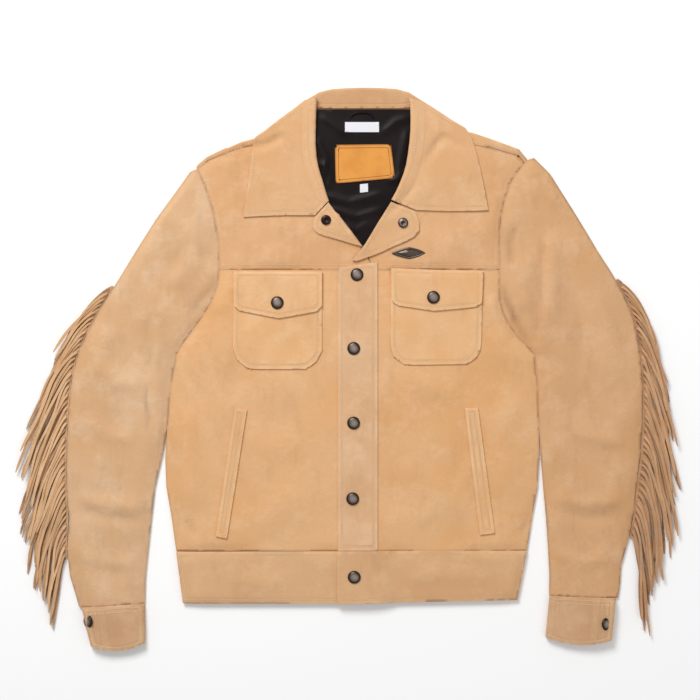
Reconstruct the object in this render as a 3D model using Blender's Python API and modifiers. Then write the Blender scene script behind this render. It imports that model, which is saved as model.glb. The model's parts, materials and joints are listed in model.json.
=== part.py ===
"""Fringed suede trucker jacket, laid flat on its back with the fronts up.

Every cut piece is a wall of its own. The tables are in millimetres: +X is the wearer's left,
+Y runs from the hem to the collar and +Z rises from the surface that the jacket lies on.
The origin is at the middle of the whole outline, at the height of that surface.
"""

import math
import random
from typing import NamedTuple

import bmesh
import bpy
import numpy as np

MM = 0.001

# Leather thicknesses
SUEDE = 1.5
TWO_PLY = 2.0
BAND = 2.4
LINING = 1.0

# Clearances between pieces
SEAM = 0.8
REST = 0.3

# How the layers lie on each other
EDGE_GAP = 0.3
ARMHOLE_GAP = 1.2
SHOULDER_GAP = 2.4
MIDDLE_RISE = 2.3
EDGE_ROLL = 24.0
COLLAR_FALL = 2.0
LIFT_START = 126.0
LIFT_END = 258.0
LIFT_MIDDLE = 15.0
LIFT_REACH = 211.0
LIFT_FADE = 70.0

# Levels along the body
HEM_SEAM = -232.0
YOKE_SEAM = 128.0
NECK_SEAM = 333.4

# Front closure
PLACKET_LEFT = -14.6
PLACKET_RIGHT = 35.9
FRONTS_MEET = 31.0

# Sleeves
SLEEVE_RISE = 3.1
SLEEVE_ROLL = 16.0

# Collar
ROLL_RADIUS = 2.2
ROLL_RISE = 2.2
ROLL_REACH = 14.0
STAND_RISE = 1.4
LAPEL_RISE = 1.6

# Snaps
CAP_RADIUS = 8.2
CAP_HEIGHT = 3.0
SOCKET_RADIUS = 6.4

# Fringe
STRAND_PITCH = 5.6
STRAND_WIDTH = 3.2
STRAND_THICK = 1.0
STRAND_LAYERS = 6
LAYER_STEP = 1.3
LOWEST_STRAND = 0.4
STRIP_LEVEL = 2.0
STRIP_WIDTH = 3.0
RAMP_END = 8.0
BEND_END = 12.0
BEND_REACH = 6.0
STRAND_STATION = 48.0
ROOT_CLEARANCE = 0.9
TANGENT_REACH = 14.0


class Edge(NamedTuple):
    """One level of the body's outline: how far each side reaches there."""
    y: float
    right: float
    left: float


class Section(NamedTuple):
    """A straight line across a piece, from its start edge to its end edge."""
    start_x: float
    start_y: float
    end_x: float
    end_y: float


class Shoulder(NamedTuple):
    """A point of the shoulder fold: share of the width, rise over the tips, and width turned forward."""
    share: float
    rise: float
    turned: float


class CollarSection(NamedTuple):
    """A line across the collar: its roll, the outer edge of the fall and the foot of the stand."""
    roll_x: float
    roll_y: float
    edge_x: float
    edge_y: float
    foot_x: float
    foot_y: float


class Root(NamedTuple):
    """A level of the sleeve seam that the fringe grows from: how fast strands drift out, and their length."""
    y: float
    drift: float
    length: float


BODY_EDGES = [
    Edge(-298.9, -213.1, 214.4),
    Edge(-264.3, -218.2, 222.7),
    Edge(-233.6, -222.1, 227.2),
    Edge(-187.5, -228.5, 234.2),
    Edge(-154.2, -234.4, 240.6),
    Edge(-128.6, -236.6, 242.6),
    Edge(-72.3, -233.6, 242.8),
    Edge(-22.4, -229.1, 240.2),
    Edge(18.6, -222.1, 237.0),
    Edge(37.8, -210.6, 218.2),
    Edge(53.1, -199.0, 206.7),
    Edge(71.0, -186.0, 197.0),
    Edge(89.0, -176.0, 193.0),
    Edge(105.6, -169.6, 192.2),
    Edge(127.4, -167.0, 192.0),
    Edge(153.0, -167.4, 191.8),
    Edge(185.0, -171.5, 193.0),
    Edge(210.6, -177.5, 197.0),
    Edge(236.2, -186.0, 204.5),
    Edge(249.0, -191.6, 211.8),
    Edge(258.2, -196.4, 217.6),
    Edge(268.4, -201.0, 227.2),
]

STATIONS = [HEM_SEAM, -187.5, -150.0, -112.0, -72.3, -22.4, 18.6, 32.0, 45.0, 58.0, 71.0, 86.0, 106.0,
            YOKE_SEAM, 153.0, 176.0, 198.0, 218.0, 236.0, 249.0]
SLEEVE_LEVELS = [-112.0, -150.0, -190.0, -232.0, -264.0]
FLAT_BACK = 128.0
BOWED_YOKE = 200.0
TIP_LEVELS = {"right": 258.2, "left": 268.4}

SHOULDER_TIPS = Section(-196.5, 260.5, 227.2, 270.7)
SHOULDER_FOLD = [
    Shoulder(0.000, 0.0, 3.0),
    Shoulder(0.033, 10.6, 3.4),
    Shoulder(0.090, 21.5, 5.0),
    Shoulder(0.135, 29.3, 6.6),
    Shoulder(0.180, 34.0, 8.5),
    Shoulder(0.210, 35.0, 9.5),
    Shoulder(0.263, 49.0, 12.0),
    Shoulder(0.300, 58.0, 12.0),
    Shoulder(0.335, 67.0, 12.0),
    Shoulder(0.500, 67.8, 12.0),
    Shoulder(0.675, 65.0, 14.0),
    Shoulder(0.710, 58.0, 16.0),
    Shoulder(0.746, 50.0, 19.0),
    Shoulder(0.785, 39.5, 17.5),
    Shoulder(0.812, 35.5, 16.0),
    Shoulder(0.835, 34.5, 14.5),
    Shoulder(0.906, 23.6, 10.0),
    Shoulder(0.977, 12.0, 7.6),
    Shoulder(1.000, 0.0, 5.0),
]
NECK_START = 0.263
NECK_END = 0.746
COLLAR_START = 0.335
COLLAR_END = 0.675

YOKE_RIGHT = [
    Section(-167.0, YOKE_SEAM - 0.6, 28.8, YOKE_SEAM),
    Section(-167.0, 153.0, 19.8, 153.0),
    Section(-170.9, 181.1, -3.2, 183.7),
    Section(-177.3, 206.7, -20.5, 204.8),
    Section(-182.4, 222.1, -41.0, 218.2),
    Section(-186.2, 234.9, -49.3, 237.4),
    Section(-191.4, 249.0, -61.0, 268.2),
    Section(-195.2, 257.0, -85.1, 303.0),
]
YOKE_LEFT = [
    Section(FRONTS_MEET, YOKE_SEAM + 2.6, 192.0, YOKE_SEAM + 0.6),
    Section(22.6, 152.0, 191.4, 155.5),
    Section(35.2, 183.7, 193.3, 186.2),
    Section(48.0, 201.5, 196.5, 210.6),
    Section(73.0, 215.5, 200.3, 225.9),
    Section(83.0, 237.4, 204.2, 238.7),
    Section(93.5, 264.3, 213.1, 251.5),
    Section(119.7, 297.4, 224.6, 266.0),
]

SLEEVE_RIGHT = [
    Section(-195.6, 256.5, -204.2, 252.8),
    Section(-190.1, 241.3, -217.0, 234.2),
    Section(-182.4, 218.2, -246.4, 193.9),
    Section(-174.7, 188.8, -275.8, 147.8),
    Section(-168.3, 156.8, -301.4, 105.6),
    Section(-167.7, 124.8, -321.9, 72.3),
    Section(-173.4, 101.8, -338.6, 40.3),
    Section(-187.5, 69.1, -350.1, 9.6),
    Section(-204.2, 46.7, -356.5, -18.6),
    Section(-224.6, 16.0, -359.4, -51.8),
    Section(-230.4, -26.2, -361.6, -90.2),
    Section(-235.4, -73.6, -362.2, -128.6),
    Section(-240.6, -109.4, -361.6, -158.1),
    Section(-249.0, -144.0, -358.4, -190.1),
    Section(-254.1, -187.5, -361.6, -228.5),
    Section(-259.2, -234.9, -357.8, -266.0),
    Section(-262.1, -263.0, -351.4, -286.0),
    Section(-263.0, -299.5, -346.0, -304.5),
]
SLEEVE_LEFT = [
    Section(226.6, 267.4, 236.2, 270.7),
    Section(215.7, 252.8, 252.8, 255.4),
    Section(204.2, 233.6, 272.0, 225.9),
    Section(195.2, 206.7, 296.3, 187.5),
    Section(192.0, 176.0, 316.8, 153.0),
    Section(192.0, 145.3, 341.1, 114.6),
    Section(192.6, 114.6, 355.2, 86.4),
    Section(195.2, 86.4, 364.2, 59.5),
    Section(200.3, 65.9, 369.9, 33.9),
    Section(219.5, 36.5, 373.1, 1.9),
    Section(238.7, 14.7, 375.2, -28.8),
    Section(242.4, -26.2, 374.8, -71.0),
    Section(244.9, -77.4, 372.5, -109.4),
    Section(245.8, -114.6, 368.0, -144.0),
    Section(249.0, -151.7, 364.2, -182.4),
    Section(252.8, -192.6, 355.2, -224.6),
    Section(255.4, -233.6, 347.5, -252.8),
    Section(257.0, -263.0, 346.2, -275.8),
    Section(256.6, -289.6, 343.6, -292.6),
]
FREE_OF_BODY = -100.0

CUFF_RIGHT = [
    Section(-262.6, -300.2, -346.0, -305.2),
    Section(-262.0, -324.5, -340.5, -327.0),
    Section(-262.4, -349.5, -333.4, -352.6),
]
CUFF_LEFT = [
    Section(256.4, -290.3, 343.6, -293.3),
    Section(253.8, -315.5, 341.6, -318.1),
    Section(251.2, -342.0, 338.8, -344.6),
]
CUFF_BOW = 8.5
CUFF_GAP = 2.6
CUFF_LAP = [(0.25, 0.2), (0.5, 0.5), (0.72, 1.0), (0.86, 1.0), (1.0, 1.0)]

LAPEL_RIGHT = [
    Section(-26.9, 213.8, -44.8, 194.6),
    Section(-16.0, 199.0, -46.1, 181.1),
    Section(-1.9, 181.1, -40.3, 174.1),
    Section(8.3, 167.0, -18.6, 167.4),
    Section(16.0, 158.2, 7.3, 160.0),
]
LAPEL_LEFT = [
    Section(53.1, 214.4, 83.8, 202.2),
    Section(44.2, 200.3, 90.2, 181.8),
    Section(36.5, 188.2, 83.2, 170.2),
    Section(26.2, 170.9, 57.0, 158.1),
    Section(17.3, 156.8, 36.5, 148.5),
    Section(10.2, 147.6, 22.0, 143.4),
    Section(3.2, 139.6, 9.6, 139.0),
]

COLLAR_RIGHT = [
    CollarSection(-27.4, 215.6, -44.2, 197.6, -29.2, 213.2),
    CollarSection(-30.7, 225.9, -78.7, 197.8, -37.6, 221.9),
    CollarSection(-35.2, 241.3, -135.4, 195.4, -44.3, 237.1),
    CollarSection(-41.0, 260.5, -127.4, 250.2, -52.9, 259.1),
    CollarSection(-44.2, 289.9, -122.6, 289.9, -57.2, 289.9),
    CollarSection(-44.0, 308.0, -119.7, 296.8, -57.0, 306.0),
    CollarSection(-43.8, 320.0, -109.5, 303.5, -56.6, 317.0),
    CollarSection(-43.4, 331.0, -90.0, 319.0, -56.0, 327.5),
    CollarSection(-42.9, 340.0, -70.0, 333.8, -54.4, 336.6),
    CollarSection(-42.3, 347.0, -57.0, 343.8, -51.4, 344.6),
]
COLLAR_LEFT = [
    CollarSection(77.4, 346.0, 93.0, 341.6, 86.0, 343.6),
    CollarSection(78.3, 339.0, 108.0, 333.0, 90.6, 336.0),
    CollarSection(78.8, 329.0, 127.0, 320.6, 91.6, 326.4),
    CollarSection(78.9, 317.0, 147.8, 308.6, 91.8, 315.4),
    CollarSection(78.6, 304.0, 155.6, 297.0, 91.6, 303.0),
    CollarSection(77.4, 289.9, 159.4, 284.8, 90.4, 289.2),
    CollarSection(73.0, 260.5, 167.0, 255.4, 85.0, 259.8),
    CollarSection(65.9, 240.0, 177.0, 204.0, 75.4, 236.9),
    CollarSection(59.5, 225.9, 123.5, 202.9, 67.0, 223.2),
    CollarSection(54.4, 216.9, 85.1, 204.4, 61.4, 214.0),
]
COLLAR_BACK = [
    CollarSection(-98.0, 309.5, -93.0, 295.0, -97.0, 305.8),
    CollarSection(-82.0, 322.5, -75.0, 290.5, -80.4, 317.0),
    CollarSection(-66.0, 336.0, -58.0, 289.0, -63.4, 331.4),
    CollarSection(-52.0, 346.6, -45.0, 288.3, -49.4, 338.0),
    CollarSection(-38.0, 355.0, -32.0, 288.0, -36.4, 335.8),
    CollarSection(-22.0, 358.6, -18.0, 288.2, -21.2, 335.2),
    CollarSection(18.6, 360.4, 18.6, 289.0, 18.6, 335.2),
    CollarSection(60.0, 358.8, 57.0, 289.2, 59.0, 335.2),
    CollarSection(76.0, 354.6, 72.0, 289.4, 74.0, 336.0),
    CollarSection(88.0, 346.6, 80.0, 289.8, 86.0, 338.0),
    CollarSection(104.0, 336.8, 92.0, 290.2, 101.0, 329.8),
    CollarSection(122.0, 325.0, 106.0, 291.5, 119.6, 320.4),
    CollarSection(138.0, 314.4, 122.0, 297.0, 136.2, 311.0),
]

LINING_PANEL = [
    Section(7.0, 154.2, 25.0, 154.2),
    Section(-1.9, 165.8, 30.1, 165.8),
    Section(-18.6, 187.5, 45.4, 187.5),
    Section(-36.5, 213.1, 60.8, 213.1),
    Section(-44.2, 237.4, 73.6, 237.4),
    Section(-49.3, 260.5, 80.0, 260.5),
    Section(-51.8, 292.5, 85.1, 292.5),
    Section(-49.3, 331.5, 83.8, 331.5),
]

POCKET_RIGHT = [
    Section(-129.9, 0.6, -54.4, 0.6),
    Section(-142.7, 10.9, -41.6, 10.9),
    Section(-149.1, 23.7, -35.2, 23.7),
    Section(-148.4, 62.0, -35.5, 62.0),
    Section(-147.8, 118.0, -35.8, 118.0),
]
POCKET_LEFT = [
    Section(71.0, 5.8, 151.7, 7.0),
    Section(57.0, 15.0, 163.2, 16.0),
    Section(52.5, 28.8, 168.3, 26.0),
    Section(52.8, 62.0, 168.9, 62.0),
    Section(53.1, 120.0, 169.6, 118.0),
]
FLAP_RIGHT = [
    Section(-147.8, 81.3, -147.8, 125.4),
    Section(-141.4, 75.5, -141.4, 125.4),
    Section(-90.6, 65.4, -90.6, 125.4),
    Section(-41.6, 74.4, -41.6, 125.4),
    Section(-35.2, 81.3, -35.2, 125.4),
]
FLAP_LEFT = [
    Section(54.4, 86.9, 53.1, 129.6),
    Section(61.6, 81.9, 61.4, 129.4),
    Section(108.9, 74.9, 108.9, 127.6),
    Section(161.2, 80.0, 161.2, 126.2),
    Section(169.3, 85.1, 170.9, 125.8),
]
WELT_RIGHT = [
    Section(-170.9, -213.1, -156.8, -216.2),
    Section(-146.6, -48.8, -131.2, -51.8),
]
WELT_LEFT = [
    Section(167.0, -211.3, 185.7, -209.3),
    Section(147.6, -49.3, 164.2, -48.8),
]

BAND_FRONT_RIGHT = [
    Section(-213.1, -299.3, FRONTS_MEET - 1.0, -299.3),
    Section(-221.6, HEM_SEAM - SEAM - 1.2, FRONTS_MEET - 1.0, HEM_SEAM - SEAM - 0.4),
]
BAND_FRONT_LEFT = [
    Section(-15.2, -299.5, 214.6, -295.0),
    Section(-15.2, HEM_SEAM - SEAM, 226.8, HEM_SEAM - SEAM),
]
BAND_BACK = [
    Section(-213.1, -298.6, 214.6, -295.0),
    Section(-221.6, HEM_SEAM - SEAM, 226.8, HEM_SEAM - SEAM),
]
PLACKET = [
    Section(PLACKET_LEFT, HEM_SEAM + 0.3, PLACKET_RIGHT, HEM_SEAM + 0.3),
    Section(-14.7, 101.8, 35.8, 104.3),
    Section(-13.4, 130.5, 35.8, 137.6),
]

NECK_LABEL = [Section(-17.7, 238.1, 58.2, 245.1), Section(-18.9, 287.7, 53.1, 288.6)]
SIZE_TAG = [Section(13.4, 226.5, 23.7, 227.5), Section(13.4, 237.2, 23.7, 238.2)]
MAKER_TAPE = [Section(-5.8, 304.0, 37.8, 304.0), Section(-5.8, 316.8, 37.8, 316.8)]
BADGE_CENTRE = (76.8, 149.0)
BADGE_LENGTH = 46.0
BADGE_HEIGHT = 15.0

CLOSURE_SNAPS = [(9.6, 121.3), (5.4, 27.0), (5.2, -68.4), (4.1, -165.2)]
BAND_SNAP = (6.0, -265.2)
FLAP_SNAPS = {"right": (-92.3, 85.4), "left": (107.3, 92.3)}
LAPEL_SNAPS = {"right": (-30.0, 191.0), "left": (68.5, 187.5)}
LAPEL_SNAP_RISE = {"right": 0.9, "left": 0.5}
CUFF_SNAPS = {"right": (-327.5, -322.0), "left": (327.0, -325.1)}

FRINGE_RIGHT = [
    Root(105.6, 0.17, 95.0),
    Root(72.3, 0.17, 112.0),
    Root(40.3, 0.18, 138.0),
    Root(9.6, 0.22, 148.0),
    Root(-18.6, 0.27, 150.0),
    Root(-51.8, 0.31, 148.0),
    Root(-90.2, 0.35, 142.0),
    Root(-128.6, 0.38, 134.0),
    Root(-158.1, 0.38, 128.0),
    Root(-190.1, 0.34, 118.0),
    Root(-228.5, 0.22, 110.0),
    Root(-244.0, 0.14, 106.0),
]
FRINGE_LEFT = [
    Root(114.6, 0.17, 92.0),
    Root(86.4, 0.17, 110.0),
    Root(59.5, 0.17, 126.0),
    Root(33.9, 0.18, 138.0),
    Root(1.9, 0.19, 146.0),
    Root(-28.8, 0.22, 148.0),
    Root(-71.0, 0.27, 146.0),
    Root(-109.4, 0.32, 142.0),
    Root(-144.0, 0.36, 136.0),
    Root(-182.4, 0.34, 130.0),
    Root(-218.2, 0.26, 126.0),
]


def smooth_step(value):
    """Rise softly from 0 to 1 as the value does."""
    value = min(max(value, 0.0), 1.0)
    return value * value * (3.0 - 2.0 * value)


def slopes(knots, values):
    """Slopes of a curve through the values that never overshoots them."""
    steps = np.diff(knots)
    rates = np.diff(values) / steps
    out = np.zeros(len(values))
    out[0], out[-1] = rates[0], rates[-1]
    for i in range(1, len(values) - 1):
        before, after = rates[i - 1], rates[i]
        if before * after > 0.0:
            out[i] = 2.0 * before * after / (before + after)
    return out


def through(knots, values, at):
    """Read a smooth curve through the values at the given place."""
    knots = np.asarray(knots, float)
    values = np.asarray(values, float)
    at = min(max(at, knots[0]), knots[-1])
    i = min(int(np.searchsorted(knots, at, side="right")) - 1, len(knots) - 2)
    step = knots[i + 1] - knots[i]
    t = (at - knots[i]) / step
    m = slopes(knots, values)
    return ((1 + 2 * t) * (1 - t) ** 2 * values[i] + t * (1 - t) ** 2 * step * m[i]
            + t * t * (3 - 2 * t) * values[i + 1] + t * t * (t - 1) * step * m[i + 1])


def column(table, name):
    """One named column of a table."""
    return [getattr(row, name) for row in table]


def levels_of(side):
    """The stations of one side, up to its shoulder tip."""
    return STATIONS + [TIP_LEVELS[side]]


def body_edge(y, side):
    """Where the body's outline lies at a level: straight from station to station, so seams match."""
    levels = levels_of(side)
    places = [through(column(BODY_EDGES, "y"), column(BODY_EDGES, side), level) for level in levels]
    if y < levels[0]:
        return through(column(BODY_EDGES, "y"), column(BODY_EDGES, side), y)
    return float(np.interp(y, levels, places))


def lift(x, y):
    """How far the collar's fall, folded under the back neck, raises the layers above it."""
    up = smooth_step((y - LIFT_START) / (LIFT_END - LIFT_START))
    across = smooth_step((LIFT_REACH - abs(x - LIFT_MIDDLE)) / LIFT_FADE)
    return (COLLAR_FALL + REST) * up * across


def side_share(x, y):
    """0 at the body's side edges, 1 where the front lies clear of them."""
    inside = min(x - body_edge(y, "right"), body_edge(y, "left") - x)
    return smooth_step(inside / EDGE_ROLL)


def front_gap(x, y):
    """Gap between the back and the fronts, least at the side folds."""
    seam = EDGE_GAP + (ARMHOLE_GAP - EDGE_GAP) * smooth_step((y - 50.0) / 40.0)
    return seam + (EDGE_GAP + MIDDLE_RISE - seam) * side_share(x, y)



def front_under(x, y):
    """Underside of the fronts and yokes."""
    return lift(x, y) + SUEDE + front_gap(x, y)


def front_top(x, y):
    """Face of the fronts and yokes."""
    return front_under(x, y) + SUEDE


def shoulder_share(x):
    """Share of the way from the right shoulder tip to the left one."""
    return (x - SHOULDER_TIPS.start_x) / (SHOULDER_TIPS.end_x - SHOULDER_TIPS.start_x)


def shoulder_fold(x):
    """Level of the shoulder fold, or of the back neck, over a place across the jacket."""
    share = shoulder_share(x)
    tips = SHOULDER_TIPS.start_y + share * (SHOULDER_TIPS.end_y - SHOULDER_TIPS.start_y)
    return tips + np.interp(share, column(SHOULDER_FOLD, "share"), column(SHOULDER_FOLD, "rise"))


def shoulder_seam(x):
    """Level of the seam where the back, turned over the shoulder, meets the yoke."""
    turned = np.interp(shoulder_share(x), column(SHOULDER_FOLD, "share"), column(SHOULDER_FOLD, "turned"))
    return shoulder_fold(x) - turned


def loft(sections, rows, columns, straight=False, key=None, levels=None):
    """Plan points of a piece: rows from the first section to the last, columns from start to end.

    The rows are spread evenly, or they lie where the key column has the given levels. The
    columns are a number of equal steps or a list of shares of the way across.
    """
    if key:
        knots = column(sections, key)
    else:
        middles = [((s.start_x + s.end_x) / 2, (s.start_y + s.end_y) / 2) for s in sections]
        knots = [0.0]
        for (ax, ay), (bx, by) in zip(middles, middles[1:]):
            knots.append(knots[-1] + math.hypot(bx - ax, by - ay))
        levels = spread(knots, rows) if straight else [knots[-1] * i / rows for i in range(rows + 1)]
    if knots[0] > knots[-1]:
        knots, sections = knots[::-1], sections[::-1]
    shares = columns if isinstance(columns, list) else [j / columns for j in range(columns + 1)]
    plan = np.zeros((len(levels), len(shares), 2))
    for i, at in enumerate(levels):
        values = [column(sections, name) for name in Section._fields]
        if straight:
            sx, sy, ex, ey = (float(np.interp(at, knots, v)) for v in values)
        else:
            sx, sy, ex, ey = (through(knots, v, at) for v in values)
        for j, share in enumerate(shares):
            plan[i, j] = (sx + (ex - sx) * share, sy + (ey - sy) * share)
    return plan


def slide_to_edge(plan, ends, edge_x):
    """Move one end of each row to its seam, the rest of the row less and less."""
    width = plan.shape[1] - 1
    for i, x in enumerate(edge_x):
        shift = x - plan[i, ends, 0]
        for j in range(width + 1):
            plan[i, j, 0] += shift * (1 - abs(j - ends % (width + 1)) / width)
    return plan


def spread(knots, rows):
    """Levels that keep every knot and share the rows among the stretches between them."""
    total = knots[-1]
    levels = [knots[0]]
    for before, after in zip(knots, knots[1:]):
        parts = max(1, round(rows * (after - before) / total))
        levels += [before + (after - before) * (i + 1) / parts for i in range(parts)]
    return levels


def raised(plan, height):
    """Put a plan at the height that a function gives for each of its points."""
    points = np.zeros(plan.shape[:2] + (3,))
    for i in range(plan.shape[0]):
        for j in range(plan.shape[1]):
            x, y = plan[i, j]
            points[i, j] = (x, y, height(x, y))
    return points


def material(name, color, roughness, metallic=0.0):
    """A material with one colour, roughness and metallic value."""
    found = bpy.data.materials.get(name)
    if found:
        return found
    made = bpy.data.materials.new(name)
    made.use_nodes = True
    shader = made.node_tree.nodes["Principled BSDF"]
    shader.inputs["Base Color"].default_value = (*color, 1.0)
    shader.inputs["Roughness"].default_value = roughness
    shader.inputs["Metallic"].default_value = metallic
    return made


def suede():
    """Tan suede of the body."""
    return material("tan_suede", (0.72, 0.47, 0.24), 0.95)


def satin():
    """Dark lining."""
    return material("dark_satin", (0.02, 0.012, 0.01), 0.4)


def snap_metal():
    """Aged brass of the snap caps."""
    return material("aged_brass", (0.16, 0.12, 0.08), 0.35, 1.0)


def add_object(name, mesh, finish):
    """Link a mesh as a named piece with its finish."""
    piece = bpy.data.objects.new(name, mesh)
    piece.data.materials.append(finish)
    jacket.objects.link(piece)
    return piece


def grid_mesh(name, points, keep=None):
    """A sheet through a grid of points given in millimetres, less the cells that are cut away."""
    rows, columns = points.shape[:2]
    mesh = bpy.data.meshes.new(name)
    made = bmesh.new()
    verts = [[made.verts.new([c * MM for c in points[i, j]]) for j in range(columns)] for i in range(rows)]
    for i in range(rows - 1):
        for j in range(columns - 1):
            if keep is None or keep(i, j):
                made.faces.new((verts[i][j], verts[i][j + 1], verts[i + 1][j + 1], verts[i + 1][j]))
    loose = [vert for vert in made.verts if not vert.link_faces]
    bmesh.ops.delete(made, geom=loose, context="VERTS")
    made.to_mesh(mesh)
    made.free()
    return mesh


def wall(name, points, thickness, finish, offset=1.0, keep=None, even=True):
    """Give a sheet its leather's thickness, upwards unless told otherwise."""
    across = points[0, 1] - points[0, 0]
    along = points[1, 0] - points[0, 0]
    if np.cross(across, along)[2] < 0 and offset == 1.0:
        points = points[:, ::-1]
    mesh = grid_mesh(name, points, keep)
    piece = add_object(name, mesh, finish)
    solid = piece.modifiers.new("Leather", "SOLIDIFY")
    solid.thickness = thickness * MM
    solid.offset = offset
    solid.use_even_offset = even
    mesh.shade_smooth()
    mesh.set_sharp_from_angle(angle=math.radians(40.0))
    return piece


def fold_shares(start, end):
    """Shares of the shoulder fold's own points between two of them."""
    return [row.share for row in SHOULDER_FOLD if start <= row.share <= end]


def back_panel():
    """The back, in one piece, turned forward over the shoulders to meet the yokes."""
    shares = np.array(fold_shares(0.0, 1.0))
    rises = np.array(column(SHOULDER_FOLD, "rise"))
    turned = column(SHOULDER_FOLD, "turned")
    rows = []
    for y in STATIONS:
        right = body_edge(y, "right") + SEAM / 2
        left = body_edge(y, "left") - SEAM / 2
        bow = max(0.0, (y - FLAT_BACK) / (TIP_LEVELS["right"] - FLAT_BACK))
        row = [(right + (left - right) * s, y + bow * r) for s, r in zip(shares, rises)]
        rows.append([(a, b, lift(a, b)) for a, b in row])
    right = SHOULDER_TIPS.start_x + SEAM / 2
    left = SHOULDER_TIPS.end_x - SEAM / 2
    tips_x = right + shares * (left - right)
    radii = [(2 * SUEDE + front_gap(x, shoulder_fold(x) - 6.0)) / 2 for x in tips_x]
    starts = [shoulder_fold(x) - r for x, r in zip(tips_x, radii)]
    starts[0], starts[-1] = TIP_LEVELS["right"], TIP_LEVELS["left"]
    rows.append([(x, y, lift(x, y)) for x, y in zip(tips_x, starts)])
    fold_row = len(rows) - 1
    for step in range(1, 7):
        row = []
        for x, y, r, w, share in zip(tips_x, starts, radii, turned, shares):
            if NECK_START < share < NECK_END:
                row.append((x, y + (NECK_SEAM - y) * min(step, 2) / 2 + 0.01 * max(0, step - 2), lift(x, y)))
                continue
            angle = math.pi * min(step, 4) / 4
            back = max(0.0, w - r) * max(0, step - 4) / 2
            level = y + r * math.sin(angle) - back
            inside = max(x, body_edge(level, "right") + SEAM / 2)
            inside = min(inside, body_edge(level, "left") - SEAM / 2)
            row.append((inside, level, lift(x, y) + r * (1 - math.cos(angle))))
        rows.append(row)

    def kept(i, j):
        if i < fold_row:
            return True
        pair = shares[j:j + 2]
        if all(COLLAR_START <= share <= COLLAR_END for share in pair):
            return i < fold_row + 2
        return all(not NECK_START < share < NECK_END for share in pair)

    wall("back", np.array(rows), SUEDE, suede(), keep=kept, even=False)


def front_panel(side):
    """One front, from the waistband seam up to the yoke seam."""
    rows = []
    for y in STATIONS[:STATIONS.index(YOKE_SEAM) + 1]:
        edge = body_edge(y, side)
        ends = (edge + SEAM / 2, FRONTS_MEET - SEAM / 2)
        if side == "left":
            ends = (FRONTS_MEET + SEAM / 2, edge - SEAM / 2)
        top = SEAM if y == YOKE_SEAM else 0.0
        rows.append([(ends[0] + (ends[1] - ends[0]) * s, y - top) for s in np.linspace(0.0, 1.0, 9)])
    wall("front_" + side, raised(np.array(rows), front_under), SUEDE, suede())


def yoke(side):
    """One front yoke, from the chest seam to the seam in front of the shoulder."""
    if side == "right":
        sections, key, outer, tip = YOKE_RIGHT, "start_y", 0, YOKE_RIGHT[-1].start_y
    else:
        sections, key, outer, tip = YOKE_LEFT, "end_y", -1, YOKE_LEFT[-1].end_y
    levels = [y for y in STATIONS if YOKE_SEAM <= y < tip - 4.0] + [tip]
    span = (0.0, NECK_START) if side == "right" else (NECK_END, 1.0)
    shares = [(share - span[0]) / (span[1] - span[0]) for share in fold_shares(*span)]
    plan = loft(sections, 0, shares, key=key, levels=levels)
    sign = 1.0 if side == "right" else -1.0
    bows = [shoulder_seam(x) - SHOULDER_GAP - y for x, y in plan[-1]]
    bows[outer] = TIP_LEVELS[side] - SHOULDER_FOLD[outer].turned - plan[-1, outer, 1]
    for i, level in enumerate(levels):
        share = max(0.0, (level - BOWED_YOKE) / (tip - BOWED_YOKE))
        for j, bow in enumerate(bows):
            at_edge = j == outer % len(bows)
            plan[i, j, 1] += bow * (math.floor(share) if at_edge else share)
    plan = slide_to_edge(plan, outer, [body_edge(y, side) + sign * SEAM / 2 for y in plan[:, outer, 1]])
    wall("yoke_" + side, raised(plan, front_under), SUEDE, suede())


def sleeve_plan(side):
    """Plan of a sleeve, beside the armhole and the body's side."""
    sections = SLEEVE_RIGHT if side == "right" else SLEEVE_LEFT
    sign = -1.0 if side == "right" else 1.0
    first, last = sections[0].start_y, sections[-1].start_y
    beside = [y for y in reversed(STATIONS) if FREE_OF_BODY <= y < first - 4.0]
    below = [y for y in SLEEVE_LEVELS if y > last + 8.0]
    levels = [first] + beside + below + [last]
    plan = loft(sections, 0, 5, key="start_y", levels=levels)
    edges = [body_edge(y, side) + sign * SEAM / 2 if y >= FREE_OF_BODY else x
             for y, x in zip(levels, plan[:, 0, 0])]
    return slide_to_edge(plan, 0, edges)


def sleeve(side):
    """The upper and under sleeve, joined along the inner and the fringed outer seams."""
    plan = sleeve_plan(side)
    wall("sleeve_under_" + side, raised(plan, lift), SUEDE, suede())
    top = raised(plan, lambda x, y: lift(x, y) + SUEDE)
    rows, columns = plan.shape[:2]
    for i in range(rows):
        width = math.dist(plan[i, 0], plan[i, -1])
        at_armhole = smooth_step((plan[i, 0, 1] - 60.0) / 30.0)
        start = EDGE_GAP + (ARMHOLE_GAP - EDGE_GAP) * at_armhole
        for j in range(columns):
            inner = width * j / (columns - 1)
            near_inner = smooth_step(inner / SLEEVE_ROLL)
            near_outer = smooth_step((width - inner) / SLEEVE_ROLL)
            seam = start * (1 - near_inner) + EDGE_GAP * near_inner
            top[i, j, 2] += seam + SLEEVE_RISE * near_inner * near_outer
    wall("sleeve_top_" + side, top, SUEDE, suede())


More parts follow.
